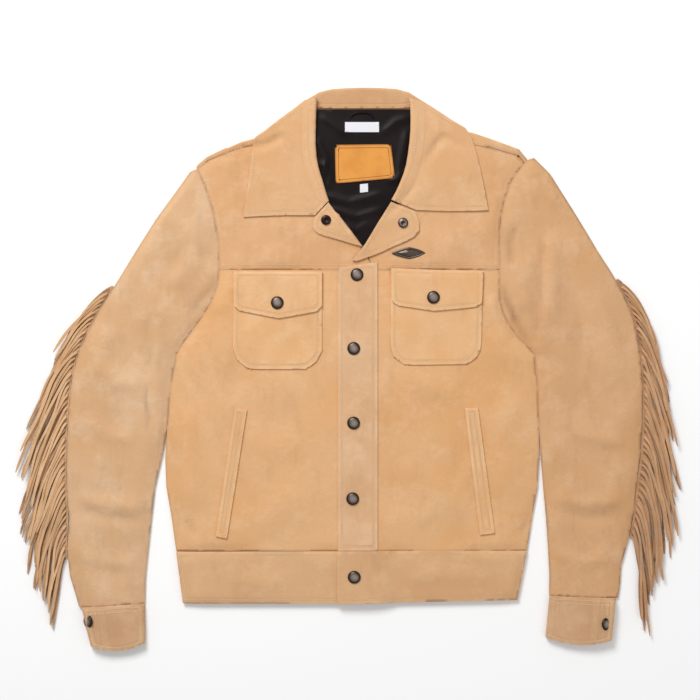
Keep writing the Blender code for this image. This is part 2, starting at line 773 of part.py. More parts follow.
def cuff(side):
    """A two-ply band wrapped round the wrist, its end lapped over its start on the outer side."""
    sections = CUFF_RIGHT if side == "right" else CUFF_LEFT
    plan = loft(sections, 4, 1)
    radius = (BAND + CUFF_GAP) / 2
    lap = 22.0
    step_up = BAND + REST
    path = []
    low = BAND / 2
    high = low + 2 * radius
    outer = math.dist(plan[0, 0], plan[0, -1]) - radius - BAND
    for share in (1.0, 0.5):
        path.append((outer - radius - lap * share, high))
    for angle in (90.0, 45.0, 0.0, -45.0, -90.0):
        turn = math.radians(angle)
        path.append((outer - radius + radius * math.cos(turn), low + radius + radius * math.sin(turn)))
    for share in (0.75, 0.5, 0.25):
        path.append((radius + (outer - 2 * radius) * share, low))
    for angle in (-90.0, -45.0, 0.0, 45.0, 90.0):
        turn = math.radians(angle)
        path.append((radius - radius * math.cos(turn), low + radius + radius * math.sin(turn)))
    for share, rise in CUFF_LAP:
        path.append((radius + (outer - 2 * radius + 1.5) * share, high + step_up * rise))
    rows = []
    for i in range(plan.shape[0]):
        start, end = plan[i, 0], plan[i, -1]
        width_here = math.dist(start, end)
        along = (end - start) / width_here
        down = np.array([along[1], -along[0]])
        if down[1] > 0:
            down = -down
        bow = CUFF_BOW * smooth_step(i / (plan.shape[0] - 1))
        row = []
        for t, z in path:
            share = (t + BAND / 2) / (outer + radius + BAND)
            place = start + (end - start) * share
            place = place + down * bow * (1 - (2 * share - 1) ** 2)
            row.append((place[0], place[1], z))
        rows.append(row)
    wall("cuff_" + side, np.array(rows), BAND, suede(), offset=0.0)


def band_front_height(x, y):
    """Underside of the front waistband."""
    return BAND + EDGE_GAP + 1.5 * side_share(x, y)


def band_left_height(x, y):
    """Underside of the left front waistband, which steps up over the end of the right one."""
    over = smooth_step((FRONTS_MEET + 26.0 - x) / 24.0)
    return band_front_height(x, y) + (BAND + REST) * over


def waistband():
    """The waistband: a back piece and two fronts, the left lapped over the right."""
    wall("waistband_back", raised(loft(BAND_BACK, 2, 10), lambda x, y: 0.0), BAND, suede())
    wall("waistband_front_right", raised(loft(BAND_FRONT_RIGHT, 2, 10), band_front_height), BAND, suede())
    plan = loft(BAND_FRONT_LEFT, 2, 16)
    wall("waistband_front_left", raised(plan, band_left_height), BAND, suede())


def on_front(extra):
    """Height of what lies on the fronts, with so much under it."""
    return lambda x, y: front_top(x, y) + extra + REST


def placket_height(x, y):
    """Underside of the placket strip."""
    return front_top(x, y) + REST


def placket():
    """The strip that carries the closure snaps, sewn on the left front and lapped over the right."""
    plan = loft(PLACKET, 10, 4, straight=True)
    wall("placket", raised(plan, placket_height), SUEDE, suede())


def pockets():
    """Chest pockets, their flaps and the welts of the hand pockets."""
    for side, bag, flap, welt in (("right", POCKET_RIGHT, FLAP_RIGHT, WELT_RIGHT),
                                  ("left", POCKET_LEFT, FLAP_LEFT, WELT_LEFT)):
        wall("pocket_" + side, raised(loft(bag, 6, 6, straight=True), on_front(0.0)), SUEDE, suede())
        plan = loft(flap, 8, 4, straight=True)
        wall("flap_" + side, raised(plan, on_front(SUEDE + REST)), TWO_PLY, suede())
        wall("welt_" + side, raised(loft(welt, 6, 2), on_front(0.0)), TWO_PLY, suede())


def lapels():
    """The turned-back tops of the fronts."""
    for side, sections in (("right", LAPEL_RIGHT), ("left", LAPEL_LEFT)):
        plan = loft(sections, 9, 5)
        points = raised(plan, on_front(0.0))
        for i in range(points.shape[0]):
            for j in range(points.shape[1]):
                away = math.dist(plan[i, 0], plan[i, j])
                points[i, j, 2] += LAPEL_RISE * math.exp(-away / ROLL_REACH)
        wall("lapel_" + side, points, TWO_PLY, suede())


def collar_wall(name, sections, rows, stand_height, fall_height):
    """A stretch of the collar in one wall: stand, roll and fall."""
    knots = [0.0]
    for a, b in zip(sections, sections[1:]):
        reach = math.hypot(b.edge_x - a.edge_x, b.edge_y - a.edge_y)
        knots.append(knots[-1] + reach + math.hypot(b.roll_x - a.roll_x, b.roll_y - a.roll_y))
    grid = []
    for at in spread(knots, rows):
        line = [through(knots, column(sections, field), at) for field in CollarSection._fields]
        roll, edge, foot = np.array(line[0:2]), np.array(line[2:4]), np.array(line[4:6])
        down = (foot - roll) / math.dist(foot, roll)
        away = (edge - roll) / math.dist(edge, roll)

        def stand_point(share):
            place = roll + down * ROLL_RADIUS + (foot - roll - down * ROLL_RADIUS) * share
            return np.array((*place, stand_height(*place, share)))

        def fall_point(share):
            start = roll + away * ROLL_RADIUS
            place = start + (edge - start) * share
            return np.array((*place, fall_height(*place, math.dist(start, place))))

        low, high = stand_point(0.0), fall_point(0.0)
        row = [stand_point(1.0), stand_point(0.5)]
        for angle in (-90.0, -45.0, 0.0, 45.0, 90.0):
            turned = math.radians(angle)
            shift = np.array((*((down + away) / 2 * ROLL_RADIUS * math.cos(turned)), 0.0))
            row.append((low + high) / 2 + (high - low) / 2 * math.sin(turned) - shift)
        row += [fall_point(share) for share in (0.15, 0.4, 0.7, 1.0)]
        grid.append(row)
    wall(name, np.array(grid), COLLAR_FALL, suede(), offset=0.0, even=False)


def collar():
    """The collar's leaves, and its back, which stands in the neck and folds down under the back."""
    def front_stand(x, y, share):
        return front_under(x, y) + SUEDE / 2

    def front_fall(x, y, away):
        return front_top(x, y) + REST + COLLAR_FALL / 2 + ROLL_RISE * math.exp(-away / ROLL_REACH)

    def back_stand(x, y, share):
        return COLLAR_FALL + REST + SUEDE / 2 + REST + STAND_RISE * (1 - share)

    def back_fall(x, y, away):
        return COLLAR_FALL / 2

    collar_wall("collar_right", COLLAR_RIGHT, 12, front_stand, front_fall)
    collar_wall("collar_left", COLLAR_LEFT, 12, front_stand, front_fall)
    collar_wall("collar_back", COLLAR_BACK, 12, back_stand, back_fall)


def lining_under(x, y):
    """Underside of the lining inside the back neck."""
    return lift(x, y) + SUEDE + REST


def on_lining(x, y):
    """Height of what is sewn on the lining."""
    return lining_under(x, y) + LINING + REST


def neck_inside():
    """The lining that shows in the neck, its labels and the hanger loop."""
    wall("lining_back", raised(loft(LINING_PANEL, 10, 6), lining_under), LINING, satin())
    label = material("label_leather", (0.75, 0.34, 0.06), 0.55)
    wall("neck_label", raised(loft(NECK_LABEL, 4, 4), on_lining), LINING, label)
    woven = material("white_tape", (0.75, 0.75, 0.72), 0.8)
    wall("size_tag", raised(loft(SIZE_TAG, 1, 1), on_lining), LINING, woven)
    wall("neck_tape", raised(loft(MAKER_TAPE, 2, 3), on_lining), LINING, woven)
    curve = bpy.data.curves.new("hanger_loop", "CURVE")
    curve.dimensions = "3D"
    curve.bevel_depth = 1.1 * MM
    curve.bevel_resolution = 1
    curve.use_fill_caps = True
    line = curve.splines.new("POLY")
    line.points.add(8)
    for i, point in enumerate(line.points):
        angle = math.pi * i / 8
        x = 16.0 - 14.0 * math.cos(angle)
        y = 322.0 + 7.0 * math.sin(angle)
        point.co = (x * MM, y * MM, (on_lining(x, y) + 1.2) * MM, 1.0)
    piece = bpy.data.objects.new("hanger_loop", curve)
    curve.materials.append(satin())
    jacket.objects.link(piece)


def badge():
    """A plain lozenge pin on the left yoke."""
    mesh = bpy.data.meshes.new("badge")
    made = bmesh.new()
    base = front_top(*BADGE_CENTRE) + REST
    half = BADGE_LENGTH / 2
    tall = BADGE_HEIGHT / 2
    low = [made.verts.new(c) for c in ((-half, 0, 0), (0, -tall, 0), (half, 0, 0), (0, tall, 0))]
    high = [made.verts.new(c) for c in ((-half + 3, 0, 1), (0, -tall + 1.4, 1), (half - 3, 0, 1), (0, tall - 1.4, 1))]
    made.faces.new(low[::-1])
    made.faces.new(high)
    for i in range(4):
        made.faces.new((low[i], low[(i + 1) % 4], high[(i + 1) % 4], high[i]))
    place = (BADGE_CENTRE[0], BADGE_CENTRE[1], base)
    for vert in made.verts:
        vert.co = [(c * (1.6 if k == 2 else 1.0) + p) * MM for k, (c, p) in enumerate(zip(vert.co, place))]
    bmesh.ops.recalc_face_normals(made, faces=made.faces)
    made.to_mesh(mesh)
    made.free()
    add_object("badge", mesh, snap_metal())


def snap(name, centre, base, radius=CAP_RADIUS):
    """A domed snap cap turned from its profile, seated just above the leather."""
    height = CAP_HEIGHT * radius / CAP_RADIUS
    profile = [(0.0, height), (0.6 * radius, 0.92 * height), (0.92 * radius, 0.55 * height),
               (radius, 0.0), (0.0, 0.0)]
    mesh = bpy.data.meshes.new(name)
    made = bmesh.new()
    verts = [made.verts.new((r * MM, 0.0, z * MM)) for r, z in profile]
    for a, b in zip(verts, verts[1:]):
        made.edges.new((a, b))
    made.to_mesh(mesh)
    made.free()
    piece = add_object(name, mesh, snap_metal())
    turned = piece.modifiers.new("Turn", "SCREW")
    turned.axis = "Z"
    turned.steps = 12
    turned.render_steps = 12
    turned.use_merge_vertices = True
    turned.merge_threshold = 0.00005
    piece.location = (centre[0] * MM, centre[1] * MM, base * MM)
    return piece


def snaps():
    """Every snap, seated on the highest leather under it."""
    for i, centre in enumerate(CLOSURE_SNAPS):
        base = max(placket_height(centre[0] + dx, centre[1] + dy) for dx in (-8, 0, 8) for dy in (-8, 0, 8))
        snap("snap_placket_%d" % (i + 1), centre, base + SUEDE + REST)
    base = max(band_left_height(BAND_SNAP[0] + dx, BAND_SNAP[1]) for dx in (-8, 0, 8))
    snap("snap_waistband", BAND_SNAP, base + BAND + REST)
    for side, centre in FLAP_SNAPS.items():
        base = max(front_top(centre[0] + dx, centre[1] + dy) for dx in (-8, 0, 8) for dy in (-8, 0, 8))
        snap("snap_flap_" + side, centre, base + SUEDE + TWO_PLY + 3 * REST)
    for side, centre in LAPEL_SNAPS.items():
        base = front_top(*centre) + TWO_PLY + 2 * REST + LAPEL_SNAP_RISE[side]
        snap("snap_lapel_" + side, centre, base, SOCKET_RADIUS)
    for side, centre in CUFF_SNAPS.items():
        base = 3 * BAND + CUFF_GAP + 2 * REST + 0.1
        snap("snap_cuff_" + side, centre, base)


def fringe(side):
    """Strands cut from one strip, which lies along the outer sleeve seam.

    A strand leaves its root straight, settles on its layer, then runs down beside the seam and
    drifts away from it. The drift belongs to the place along the seam, so that strands of one
    layer keep their distance.
    """
    roots = FRINGE_RIGHT if side == "right" else FRINGE_LEFT
    sign = -1.0 if side == "right" else 1.0
    dice = random.Random(7 if side == "right" else 11)
    edge = sleeve_plan(side)[:, -1]
    levels = sorted([y for y in edge[:, 1] if roots[-1].y < y < roots[0].y] + [roots[0].y, roots[-1].y])[::-1]
    line = [(float(np.interp(-y, -edge[:, 1], edge[:, 0])), y) for y in levels]
    knots = [0.0]
    for a, b in zip(line, line[1:]):
        knots.append(knots[-1] + math.dist(a, b))
    total = knots[-1]
    count = int(total / STRAND_PITCH)
    xs, ys = [x for x, y in line], [y for x, y in line]
    depths = [-y for y in column(roots, "y")]

    def on_seam(distance):
        return np.array((np.interp(distance, knots, xs), np.interp(distance, knots, ys)))

    def seam(distance):
        inside = min(distance, total)
        down = on_seam(inside + TANGENT_REACH) - on_seam(inside - TANGENT_REACH)
        down = down / math.hypot(*down)
        out = np.array((-down[1], down[0]))
        if out[0] * sign < 0:
            out = -out
        return on_seam(inside) + down * max(0.0, distance - total), down, out

    def rate_at(distance):
        return through(depths, column(roots, "drift"), -on_seam(min(distance, total))[1])

    def drift(start, end):
        return float(np.mean([rate_at(at) for at in np.linspace(start, end, 12)])) * (end - start)

    def lane(distance, outwards):
        place, down, out = seam(distance)
        return place + out * (outwards + ROOT_CLEARANCE), down, out

    mesh = bpy.data.meshes.new("fringe_" + side)
    made = bmesh.new()

    def vert(place, z):
        return made.verts.new((place[0] * MM, place[1] * MM, z * MM))

    def box_ring(centre, half):
        a, b = centre - half, centre + half
        high = STRIP_LEVEL + STRAND_THICK
        return [vert(a, STRIP_LEVEL), vert(b, STRIP_LEVEL), vert(b, high), vert(a, high)]

    def strand_ring(centre, half, low):
        return [vert(centre - half, low), vert(centre + half, low), vert(centre, low + STRAND_THICK)]

    def place_on(middle, at):
        """Where the strand rooted at one distance along the seam lies at another."""
        return lane(at, BEND_END + drift(middle, at))[0]

    inner_before = outer_before = None
    for i in range(count):
        middle = STRAND_PITCH * (i + 0.5)
        place, down, out = lane(middle, 0.0)
        half = down * STRAND_WIDTH / 2
        inner = box_ring(place, half)
        outer = box_ring(place + out * STRIP_WIDTH, half)
        made.faces.new((inner[0], inner[1], outer[1], outer[0]))
        made.faces.new((inner[3], outer[3], outer[2], inner[2]))
        made.faces.new((inner[0], inner[3], inner[2], inner[1]))
        if inner_before is None:
            made.faces.new((inner[0], outer[0], outer[3], inner[3]))
        else:
            made.faces.new((inner_before[1], inner[0], outer[0], outer_before[1]))
            made.faces.new((inner_before[2], outer_before[2], outer[3], inner[3]))
            made.faces.new((inner_before[1], inner_before[2], inner[3], inner[0]))
            made.faces.new((outer_before[1], outer[0], outer[3], outer_before[2]))
        inner_before, outer_before = inner, outer
        level = LOWEST_STRAND + (i % STRAND_LAYERS) * LAYER_STEP
        end = middle + through(depths, column(roots, "length"), -on_seam(middle)[1]) * dice.uniform(0.86, 1.04)
        near = math.floor(end / STRAND_STATION) * STRAND_STATION
        far = near + STRAND_STATION
        share = (end - near) / STRAND_STATION
        first = math.ceil((middle + 1.4 * BEND_REACH) / STRAND_STATION) * STRAND_STATION
        centres = [lane(middle, RAMP_END)[0], lane(middle + BEND_REACH, BEND_END)[0]]
        centres += [place_on(middle, at) for at in np.arange(first, near + 1.0, STRAND_STATION)]
        centres.append(place_on(middle, near) * (1 - share) + place_on(middle, far) * share)
        rings = []
        for number, centre in enumerate(centres):
            heading = centres[min(number + 1, len(centres) - 1)] - centres[max(number - 1, 0)]
            if number == 0:
                heading = out
            heading = heading / math.hypot(*heading)
            normal = np.array((heading[1], -heading[0])) * sign
            taper = 1.0 if number < len(centres) - 1 else 0.7
            rings.append(strand_ring(centre, normal * STRAND_WIDTH / 2 * taper, level))
        root = rings[0]
        made.faces.new((outer[0], outer[1], root[1], root[0]))
        made.faces.new((outer[1], outer[2], root[2], root[1]))
        made.faces.new((outer[2], outer[3], root[2]))
        made.faces.new((outer[3], outer[0], root[0], root[2]))
        for last, here in zip(rings, rings[1:]):
            for k in range(3):
                made.faces.new((last[k], here[k], here[(k + 1) % 3], last[(k + 1) % 3]))
        made.faces.new(rings[-1])
    made.faces.new((inner_before[1], inner_before[2], outer_before[2], outer_before[1]))
    bmesh.ops.recalc_face_normals(made, faces=made.faces)
    made.to_mesh(mesh)
    made.free()
    add_object("fringe_" + side, mesh, material("fringe_suede", (0.62, 0.38, 0.2), 0.95))


for old in list(bpy.data.objects):
    bpy.data.objects.remove(old, do_unlink=True)
jacket = bpy.data.collections.new("fringed_suede_jacket")
bpy.context.scene.collection.children.link(jacket)

back_panel()
neck_inside()
waistband()
for wearers_side in ("right", "left"):
    front_panel(wearers_side)
    yoke(wearers_side)
    sleeve(wearers_side)
    cuff(wearers_side)
    fringe(wearers_side)
placket()
pockets()
lapels()
collar()
badge()
snaps()
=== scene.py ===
"""Fringed suede trucker jacket, laid flat on its back: its leather, folds, stitching, fringe and metal.

Every cloth piece is a thin shell on the form of its own solid. Lengths in the tables are in
millimetres, in the frame of the solids: +X is the wearer's left, +Y runs from hem to collar.
"""

from __future__ import annotations

import json
import logging
import math
import random
from dataclasses import dataclass, field
from enum import Enum
from typing import Callable, Iterable, Sequence

import bmesh
import bpy
import numpy as np
from mathutils import Matrix, Vector
from mathutils.bvhtree import BVHTree
from mathutils.kdtree import KDTree

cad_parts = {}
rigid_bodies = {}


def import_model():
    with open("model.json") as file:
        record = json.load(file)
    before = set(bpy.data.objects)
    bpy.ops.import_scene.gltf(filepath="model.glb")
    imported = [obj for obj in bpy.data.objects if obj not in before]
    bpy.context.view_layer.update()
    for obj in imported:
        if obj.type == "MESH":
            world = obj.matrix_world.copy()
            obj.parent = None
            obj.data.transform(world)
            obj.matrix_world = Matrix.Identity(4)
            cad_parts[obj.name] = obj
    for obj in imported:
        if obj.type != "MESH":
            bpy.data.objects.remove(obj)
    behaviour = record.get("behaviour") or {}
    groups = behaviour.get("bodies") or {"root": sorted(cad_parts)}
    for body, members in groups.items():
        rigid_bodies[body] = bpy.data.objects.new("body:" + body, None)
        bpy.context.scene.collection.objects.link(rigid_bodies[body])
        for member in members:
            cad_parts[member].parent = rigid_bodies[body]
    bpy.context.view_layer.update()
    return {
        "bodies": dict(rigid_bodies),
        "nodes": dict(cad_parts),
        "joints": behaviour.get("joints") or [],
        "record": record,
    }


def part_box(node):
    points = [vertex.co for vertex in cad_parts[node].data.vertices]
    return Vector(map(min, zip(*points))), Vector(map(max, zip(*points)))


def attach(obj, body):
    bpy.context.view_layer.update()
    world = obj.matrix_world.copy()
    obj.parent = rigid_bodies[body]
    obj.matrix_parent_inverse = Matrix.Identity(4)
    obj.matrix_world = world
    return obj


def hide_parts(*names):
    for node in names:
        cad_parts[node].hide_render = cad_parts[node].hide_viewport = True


MM = 0.001
# Points nearer than this, in metres, are one point
TINY = 1e-7
# Steps in plan shorter than this have no direction
NO_STEP = 1e-6
# A face whose normal rises less than this belongs to a cut edge
WALL = 0.35
# A direction with more than this along an axis faces that way
FACING = 0.72
log = logging.getLogger("jacket")

Triple = tuple[float, float, float]
Color = Triple
Place = tuple[float, float]


def srgb(*levels: float) -> Color:
    """Turn red, green and blue on the 0 to 255 scale into a linear colour."""
    shares = (level / 255.0 for level in levels)
    return tuple(share / 12.92 if share <= 0.04045 else ((share + 0.055) / 1.055) ** 2.4 for share in shares)


def soft_step(value: np.ndarray) -> np.ndarray:
    """Rise softly from 0 to 1 as the values do."""
    share = np.clip(value, 0.0, 1.0)
    return share * share * (3.0 - 2.0 * share)


def store(mesh: bpy.types.Mesh, name: str, values: Sequence[float]) -> None:
    """Keep one value for each point of a mesh, for its material to read."""
    mesh.attributes.new(name, "FLOAT", "POINT").data.foreach_set("value", np.asarray(values, np.float32))


def skin(made: bmesh.types.BMesh, rings: Sequence[Sequence[bmesh.types.BMVert]]) -> None:
    """Join rings of points by faces and close both ends.

    Args:
        made: The form that the faces join.
        rings: Rings of one size; the first or the last may be a single point.
    """
    for last, here in zip(rings, rings[1:]):
        count = max(len(last), len(here))
        for i in range(count):
            j = (i + 1) % count
            if len(last) == 1:
                made.faces.new((last[0], here[i], here[j]))
            elif len(here) == 1:
                made.faces.new((last[i], here[0], last[j]))
            else:
                made.faces.new((last[i], here[i], here[j], last[j]))
    for end in (rings[0], rings[-1][::-1]):
        if len(end) > 1:
            made.faces.new(end)


def turn(made: bmesh.types.BMesh, profile: Sequence[Place], foot: np.ndarray, half: Triple, steps: int,
         bow: float = 2.0) -> None:
    """Turn a profile about an upright axis.

    Args:
        made: The form that it joins.
        profile: Its points from the top down, as shares of the radius and of the height.
        foot: The middle of its foot.
        half: Half of its width, depth and height.
        steps: Points round it.
        bow: 2 for a round plan, towards 1 for a lozenge.
    """
    rings = []
    for share, rise in profile:
        ring = []
        for i in range(steps if share > 0.0 else 1):
            angle = 2 * math.pi * i / steps
            c, s = math.cos(angle), math.sin(angle)
            reach = share * (abs(c) ** bow + abs(s) ** bow) ** (-1 / bow)
            ring.append(made.verts.new((foot[0] + reach * half[0] * c, foot[1] + reach * half[1] * s,
                                        foot[2] + rise * 2 * half[2])))
        rings.append(ring)
    skin(made, rings)


def shaded(made: bmesh.types.BMesh, name: str, sharp: float) -> bpy.types.Mesh:
    """Turn a form into a smooth mesh.

    Args:
        made: The form, which is freed.
        name: The mesh's name.
        sharp: Edges over this angle in degrees stay sharp.

    Returns:
        The mesh.
    """
    mesh = bpy.data.meshes.new(name)
    made.to_mesh(mesh)
    made.free()
    mesh.shade_smooth()
    mesh.set_sharp_from_angle(angle=math.radians(sharp))
    return mesh


class PlanTree:
    """Places in plan, sorted for a quick search."""

    def __init__(self, places: np.ndarray) -> None:
        """Sort the places.

        Args:
            places: Places in metres.
        """
        self.tree = KDTree(len(places))
        for i, place in enumerate(places):
            self.tree.insert((place[0], place[1], 0.0), i)
        self.tree.balance()

    def near(self, place: Sequence[float]) -> float:
        """Distance in plan from a place to the nearest of them."""
        return self.tree.find((place[0], place[1], 0.0))[2]


class Side(Enum):
    """The wearer's sides, by their way along X."""
    RIGHT = -1.0
    LEFT = 1.0

    @property
    def word(self) -> str:
        """The side as the solids' names have it."""
        return self.name.lower()


class Held(Enum):
    """How a cloth piece is held."""
    LAID = "laid"
    FOLDED = "folded"


class Layer(Enum):
    """Which folds a piece lies in."""
    FLAT = "flat"
    NECK = "neck"
    UPPER = "upper"


class Term:
    """A socket of a material with arithmetic: each operation adds its Math node."""

    def __init__(self, recipe: "Recipe", socket: bpy.types.NodeSocket) -> None:
        """Wrap a socket.

        Args:
            recipe: The material that the socket belongs to.
            socket: The output socket.
        """
        self.recipe = recipe
        self.socket = socket

    def _with(self, operation: str, first: "Term | float", second: "Term | float" = 0.0) -> "Term":
        """Join two values by a Math node."""
        return self.recipe.node("ShaderNodeMath", {"operation": operation}, {0: first, 1: second})

    def __add__(self, other: "Term | float") -> "Term":
        """Sum."""
        return self._with("ADD", self, other)

    __radd__ = __add__

    def __mul__(self, other: "Term | float") -> "Term":
        """Product."""
        return self._with("MULTIPLY", self, other)

    __rmul__ = __mul__

    def __sub__(self, other: "Term | float") -> "Term":
        """Difference."""
        return self._with("SUBTRACT", self, other)

    def __rsub__(self, other: "Term | float") -> "Term":
        """Difference from a number."""
        return self._with("SUBTRACT", other, self)

    def between(self, low: float, high: float) -> "Term":
        """0 below the low value, 1 above the high one, soft between them."""
        return self.recipe.node("ShaderNodeMapRange", {"interpolation_type": "SMOOTHSTEP"},
                                {0: self, 1: low, 2: high, 3: 0.0, 4: 1.0})


class Recipe:
    """A material in the making, with one method for any node."""

    def __init__(self, name: str) -> None:
        """Start a material with a Principled shader.

        Args:
            name: Name of the material.
        """
        self.material = bpy.data.materials.new(name)
        self.material.use_nodes = True
        self.tree = self.material.node_tree
        self.shader = self.tree.nodes["Principled BSDF"]

    def node(self, kind: str, settings: dict[str, object] | None = None,
             inputs: dict[int | str, object] | None = None, output: int | str = 0) -> Term:
        """Add a node.

        Args:
            kind: The node's type.
            settings: Properties that are set first.
            inputs: Values or links of its sockets.
            output: The output that is wanted.

        Returns:
            The wanted output, ready for arithmetic.
        """
        made = self.tree.nodes.new(kind)
        for key, value in (settings or {}).items():
            setattr(made, key, value)
        for key, value in (inputs or {}).items():
            self.feed(made.inputs[key], value)
        return Term(self, made.outputs[output])

    def feed(self, socket: bpy.types.NodeSocket, value: object) -> None:
        """Link a term to a socket, or set its value.

        Args:
            socket: The input socket.
            value: A term, a number, a vector or a colour.
        """
        if isinstance(value, Term):
            self.tree.links.new(value.socket, socket)
        else:
            socket.default_value = (*value, 1.0) if socket.type == "RGBA" else value

    def noise(self, scale: float, detail: float = 2.0, rough: float = 0.5, stretch: Triple = (1, 1, 1)) -> Term:
        """Noise over the object's own place.

        Args:
            scale: Cycles a metre.
            detail: How many finer waves are added.
            rough: How strong they are.
            stretch: Scale along each axis.

        Returns:
            The noise, from 0 to 1.
        """
        place = self.node("ShaderNodeTexCoord", output="Object")
        placed = self.node("ShaderNodeMapping", {}, {"Vector": place, "Scale": stretch})
        return self.node("ShaderNodeTexNoise", {}, {"Vector": placed, "Scale": scale, "Detail": detail,
                                                    "Roughness": rough})

    def mix(self, share: Term | float, first: Term | Color, second: Term | Color) -> Term:
        """Mix two colours."""
        return self.node("ShaderNodeMix", {"data_type": "RGBA"}, {0: share, 6: first, 7: second}, 2)

    def attribute(self, name: str) -> Term:
        """A value stored on the mesh."""
        return self.node("ShaderNodeAttribute", {"attribute_name": name}, {}, "Fac")

    def finish(self, color: object, roughness: object, height: Term | None = None, strength: float = 0.3,
               depth: float = 0.001, **fixed: float) -> bpy.types.Material:
        """Feed the shader.

        Args:
            color: Base colour, a term or a colour.
            roughness: Roughness, a term or a number.
            height: Height that the bump follows.
            strength: Strength of the bump.
            depth: Depth of the bump in metres.
            fixed: Other sockets with one value, by their names with spaces as underscores.

        Returns:
            The finished material.
        """
        self.feed(self.shader.inputs["Base Color"], color)
        self.feed(self.shader.inputs["Roughness"], roughness)
        for name, value in fixed.items():
            self.shader.inputs[name.replace("_", " ")].default_value = value
        if height is not None:
            bump = self.node("ShaderNodeBump", {}, {"Strength": strength, "Distance": depth, "Height": height},
                             "Normal")
            self.feed(self.shader.inputs["Normal"], bump)
        return self.material


class Finish:
    """What the finishes share: a name, the record's slot that they fill, and the making of their material."""
    name: str
    slot: str

    def make(self) -> bpy.types.Material:
        """Build the material."""
        raise NotImplementedError


@dataclass(frozen=True)
class Suede(Finish):
    """Brushed suede: cloudy tones, paler worn edges, painted shade in the creases, along the stitch grooves and
    along the seams, and a fine nap.
    """
    name: str
    middle: Color
    warm: Color
    pale: Color
    # The dark colour that paints shade in creases, stitch grooves and seams; random streaks take it too.
    painted_shade: Color = srgb(178, 138, 104)
    slot: str = "tan_suede"
    cloud: float = 9.0
    rubbed_edge: float = 0.0
    stitch_groove: float = 0.0
    seam_shade: float = 0.0

    def make(self) -> bpy.types.Material:
        """Build the material.

        Returns:
            The finished material.
        """
        recipe = Recipe(self.name)
        clouds = recipe.noise(self.cloud, 4.0, 0.55).between(0.40, 0.64)
        blotch = recipe.noise(34.0, 5.0, 0.65).between(0.44, 0.70)
        streak = recipe.noise(60.0, 4.0, 0.65, (1.0, 0.35, 1.0)).between(0.48, 0.76)
        speck = recipe.noise(170.0, 3.0, 0.6).between(0.42, 0.68)
        nap = recipe.noise(420.0, 3.0, 0.7)
        hair = recipe.noise(1500.0, 2.0, 0.6)
        color = recipe.mix(clouds * 0.75, self.middle, self.warm)
        color = recipe.mix(blotch * 0.5, color, self.pale)
        # Random streaks, drawn in the dark colour that also paints shade.
        color = recipe.mix(streak * 0.22, color, self.painted_shade)
        color = recipe.mix(speck * 0.16, color, self.warm)
        # Painted shade darkens the creases; on the fringe the same mask darkens the lower strands and also carries
        # their random tone.
        fold = recipe.attribute("fold").between(0.1, 1.0)
        color = recipe.mix(fold * (0.35 + 0.5 * blotch), color, self.painted_shade)
        edge = recipe.attribute("edge_mm")
        uneven = 0.45 + 0.9 * blotch
        # Paler worn rims along the cut edges.
        wear_and_highlight = (1.0 - edge.between(0.5, 5.0)) * uneven
        groove = edge.between(3.0, 4.8) * (1.0 - edge.between(5.2, 7.4)) * uneven
        color = recipe.mix(wear_and_highlight * self.rubbed_edge, color, self.pale)
        # Painted shade darkens the stitch groove, whose bump further down is its real dent; the next line paints
        # shade along the seams.
        color = recipe.mix(groove * self.stitch_groove, color, self.painted_shade)
        color = recipe.mix((1.0 - edge.between(0.2, 3.4)) * (self.seam_shade * uneven), color, self.painted_shade)
        color = recipe.mix((nap - 0.5).between(-0.05, 0.25) * 0.14, color, self.warm)
        height = (nap * 0.5 + hair * 0.35 + blotch * 0.7
                  - groove * (2.4 * self.stitch_groove) - wear_and_highlight * (0.8 * self.rubbed_edge))
        return recipe.finish(color, 0.93 + 0.05 * nap, height, 0.5, 0.0011,
                             Sheen_Weight=0.18, Sheen_Roughness=0.5, Specular_IOR_Level=0.12)


@dataclass(frozen=True)
class Satin(Finish):
    """Near-black lining satin with a soft gloss in its folds."""
    name: str = "black_satin"
    slot: str = "dark_satin"
    color: Color = srgb(19, 10, 9)

    def make(self) -> bpy.types.Material:
        """Build the material.

        Returns:
            The finished material.
        """
        recipe = Recipe(self.name)
        weave = recipe.noise(2600.0, 1.0, 0.5, (1.0, 0.25, 1.0))
        cloud = recipe.noise(30.0, 3.0, 0.5)
        color = recipe.mix(cloud.between(0.4, 0.7), self.color, srgb(26, 16, 17))
        return recipe.finish(color, 0.40 + 0.12 * cloud, weave, 0.10, 0.0003, Specular_IOR_Level=0.16)


@dataclass(frozen=True)
class Leather(Finish):
    """Smooth dyed leather of the neck label, darker along its cut edge."""
    name: str = "label_orange"
    slot: str = "label_leather"
    color: Color = srgb(221, 148, 56)

    def make(self) -> bpy.types.Material:
        """Build the material.

        Returns:
            The finished material.
        """
        recipe = Recipe(self.name)
        grain = recipe.noise(900.0, 3.0, 0.6)
        cloud = recipe.noise(60.0, 3.0, 0.5).between(0.35, 0.7)
        edge = recipe.attribute("edge_mm")
        color = recipe.mix(cloud * 0.6, self.color, srgb(204, 128, 42))
        color = recipe.mix((1.0 - edge.between(0.2, 2.2)) * 0.75, color, srgb(150, 84, 26))
        return recipe.finish(color, 0.5 + 0.1 * grain, grain, 0.2, 0.0004)


@dataclass(frozen=True)
class Tape(Finish):
    """White woven tape, left bare."""
    name: str = "woven_white"
    slot: str = "white_tape"
    color: Color = srgb(232, 231, 236)

    def make(self) -> bpy.types.Material:
        """Build the material.

        Returns:
            The finished material.
        """
        recipe = Recipe(self.name)
        weave = recipe.node("ShaderNodeTexWave", {"bands_direction": "Y"},
                            {"Vector": recipe.node("ShaderNodeTexCoord", output="Object"), "Scale": 900.0})
        color = recipe.mix(weave * 0.35, self.color, srgb(196, 196, 206))
        return recipe.finish(color, 0.8, weave, 0.25, 0.0003)


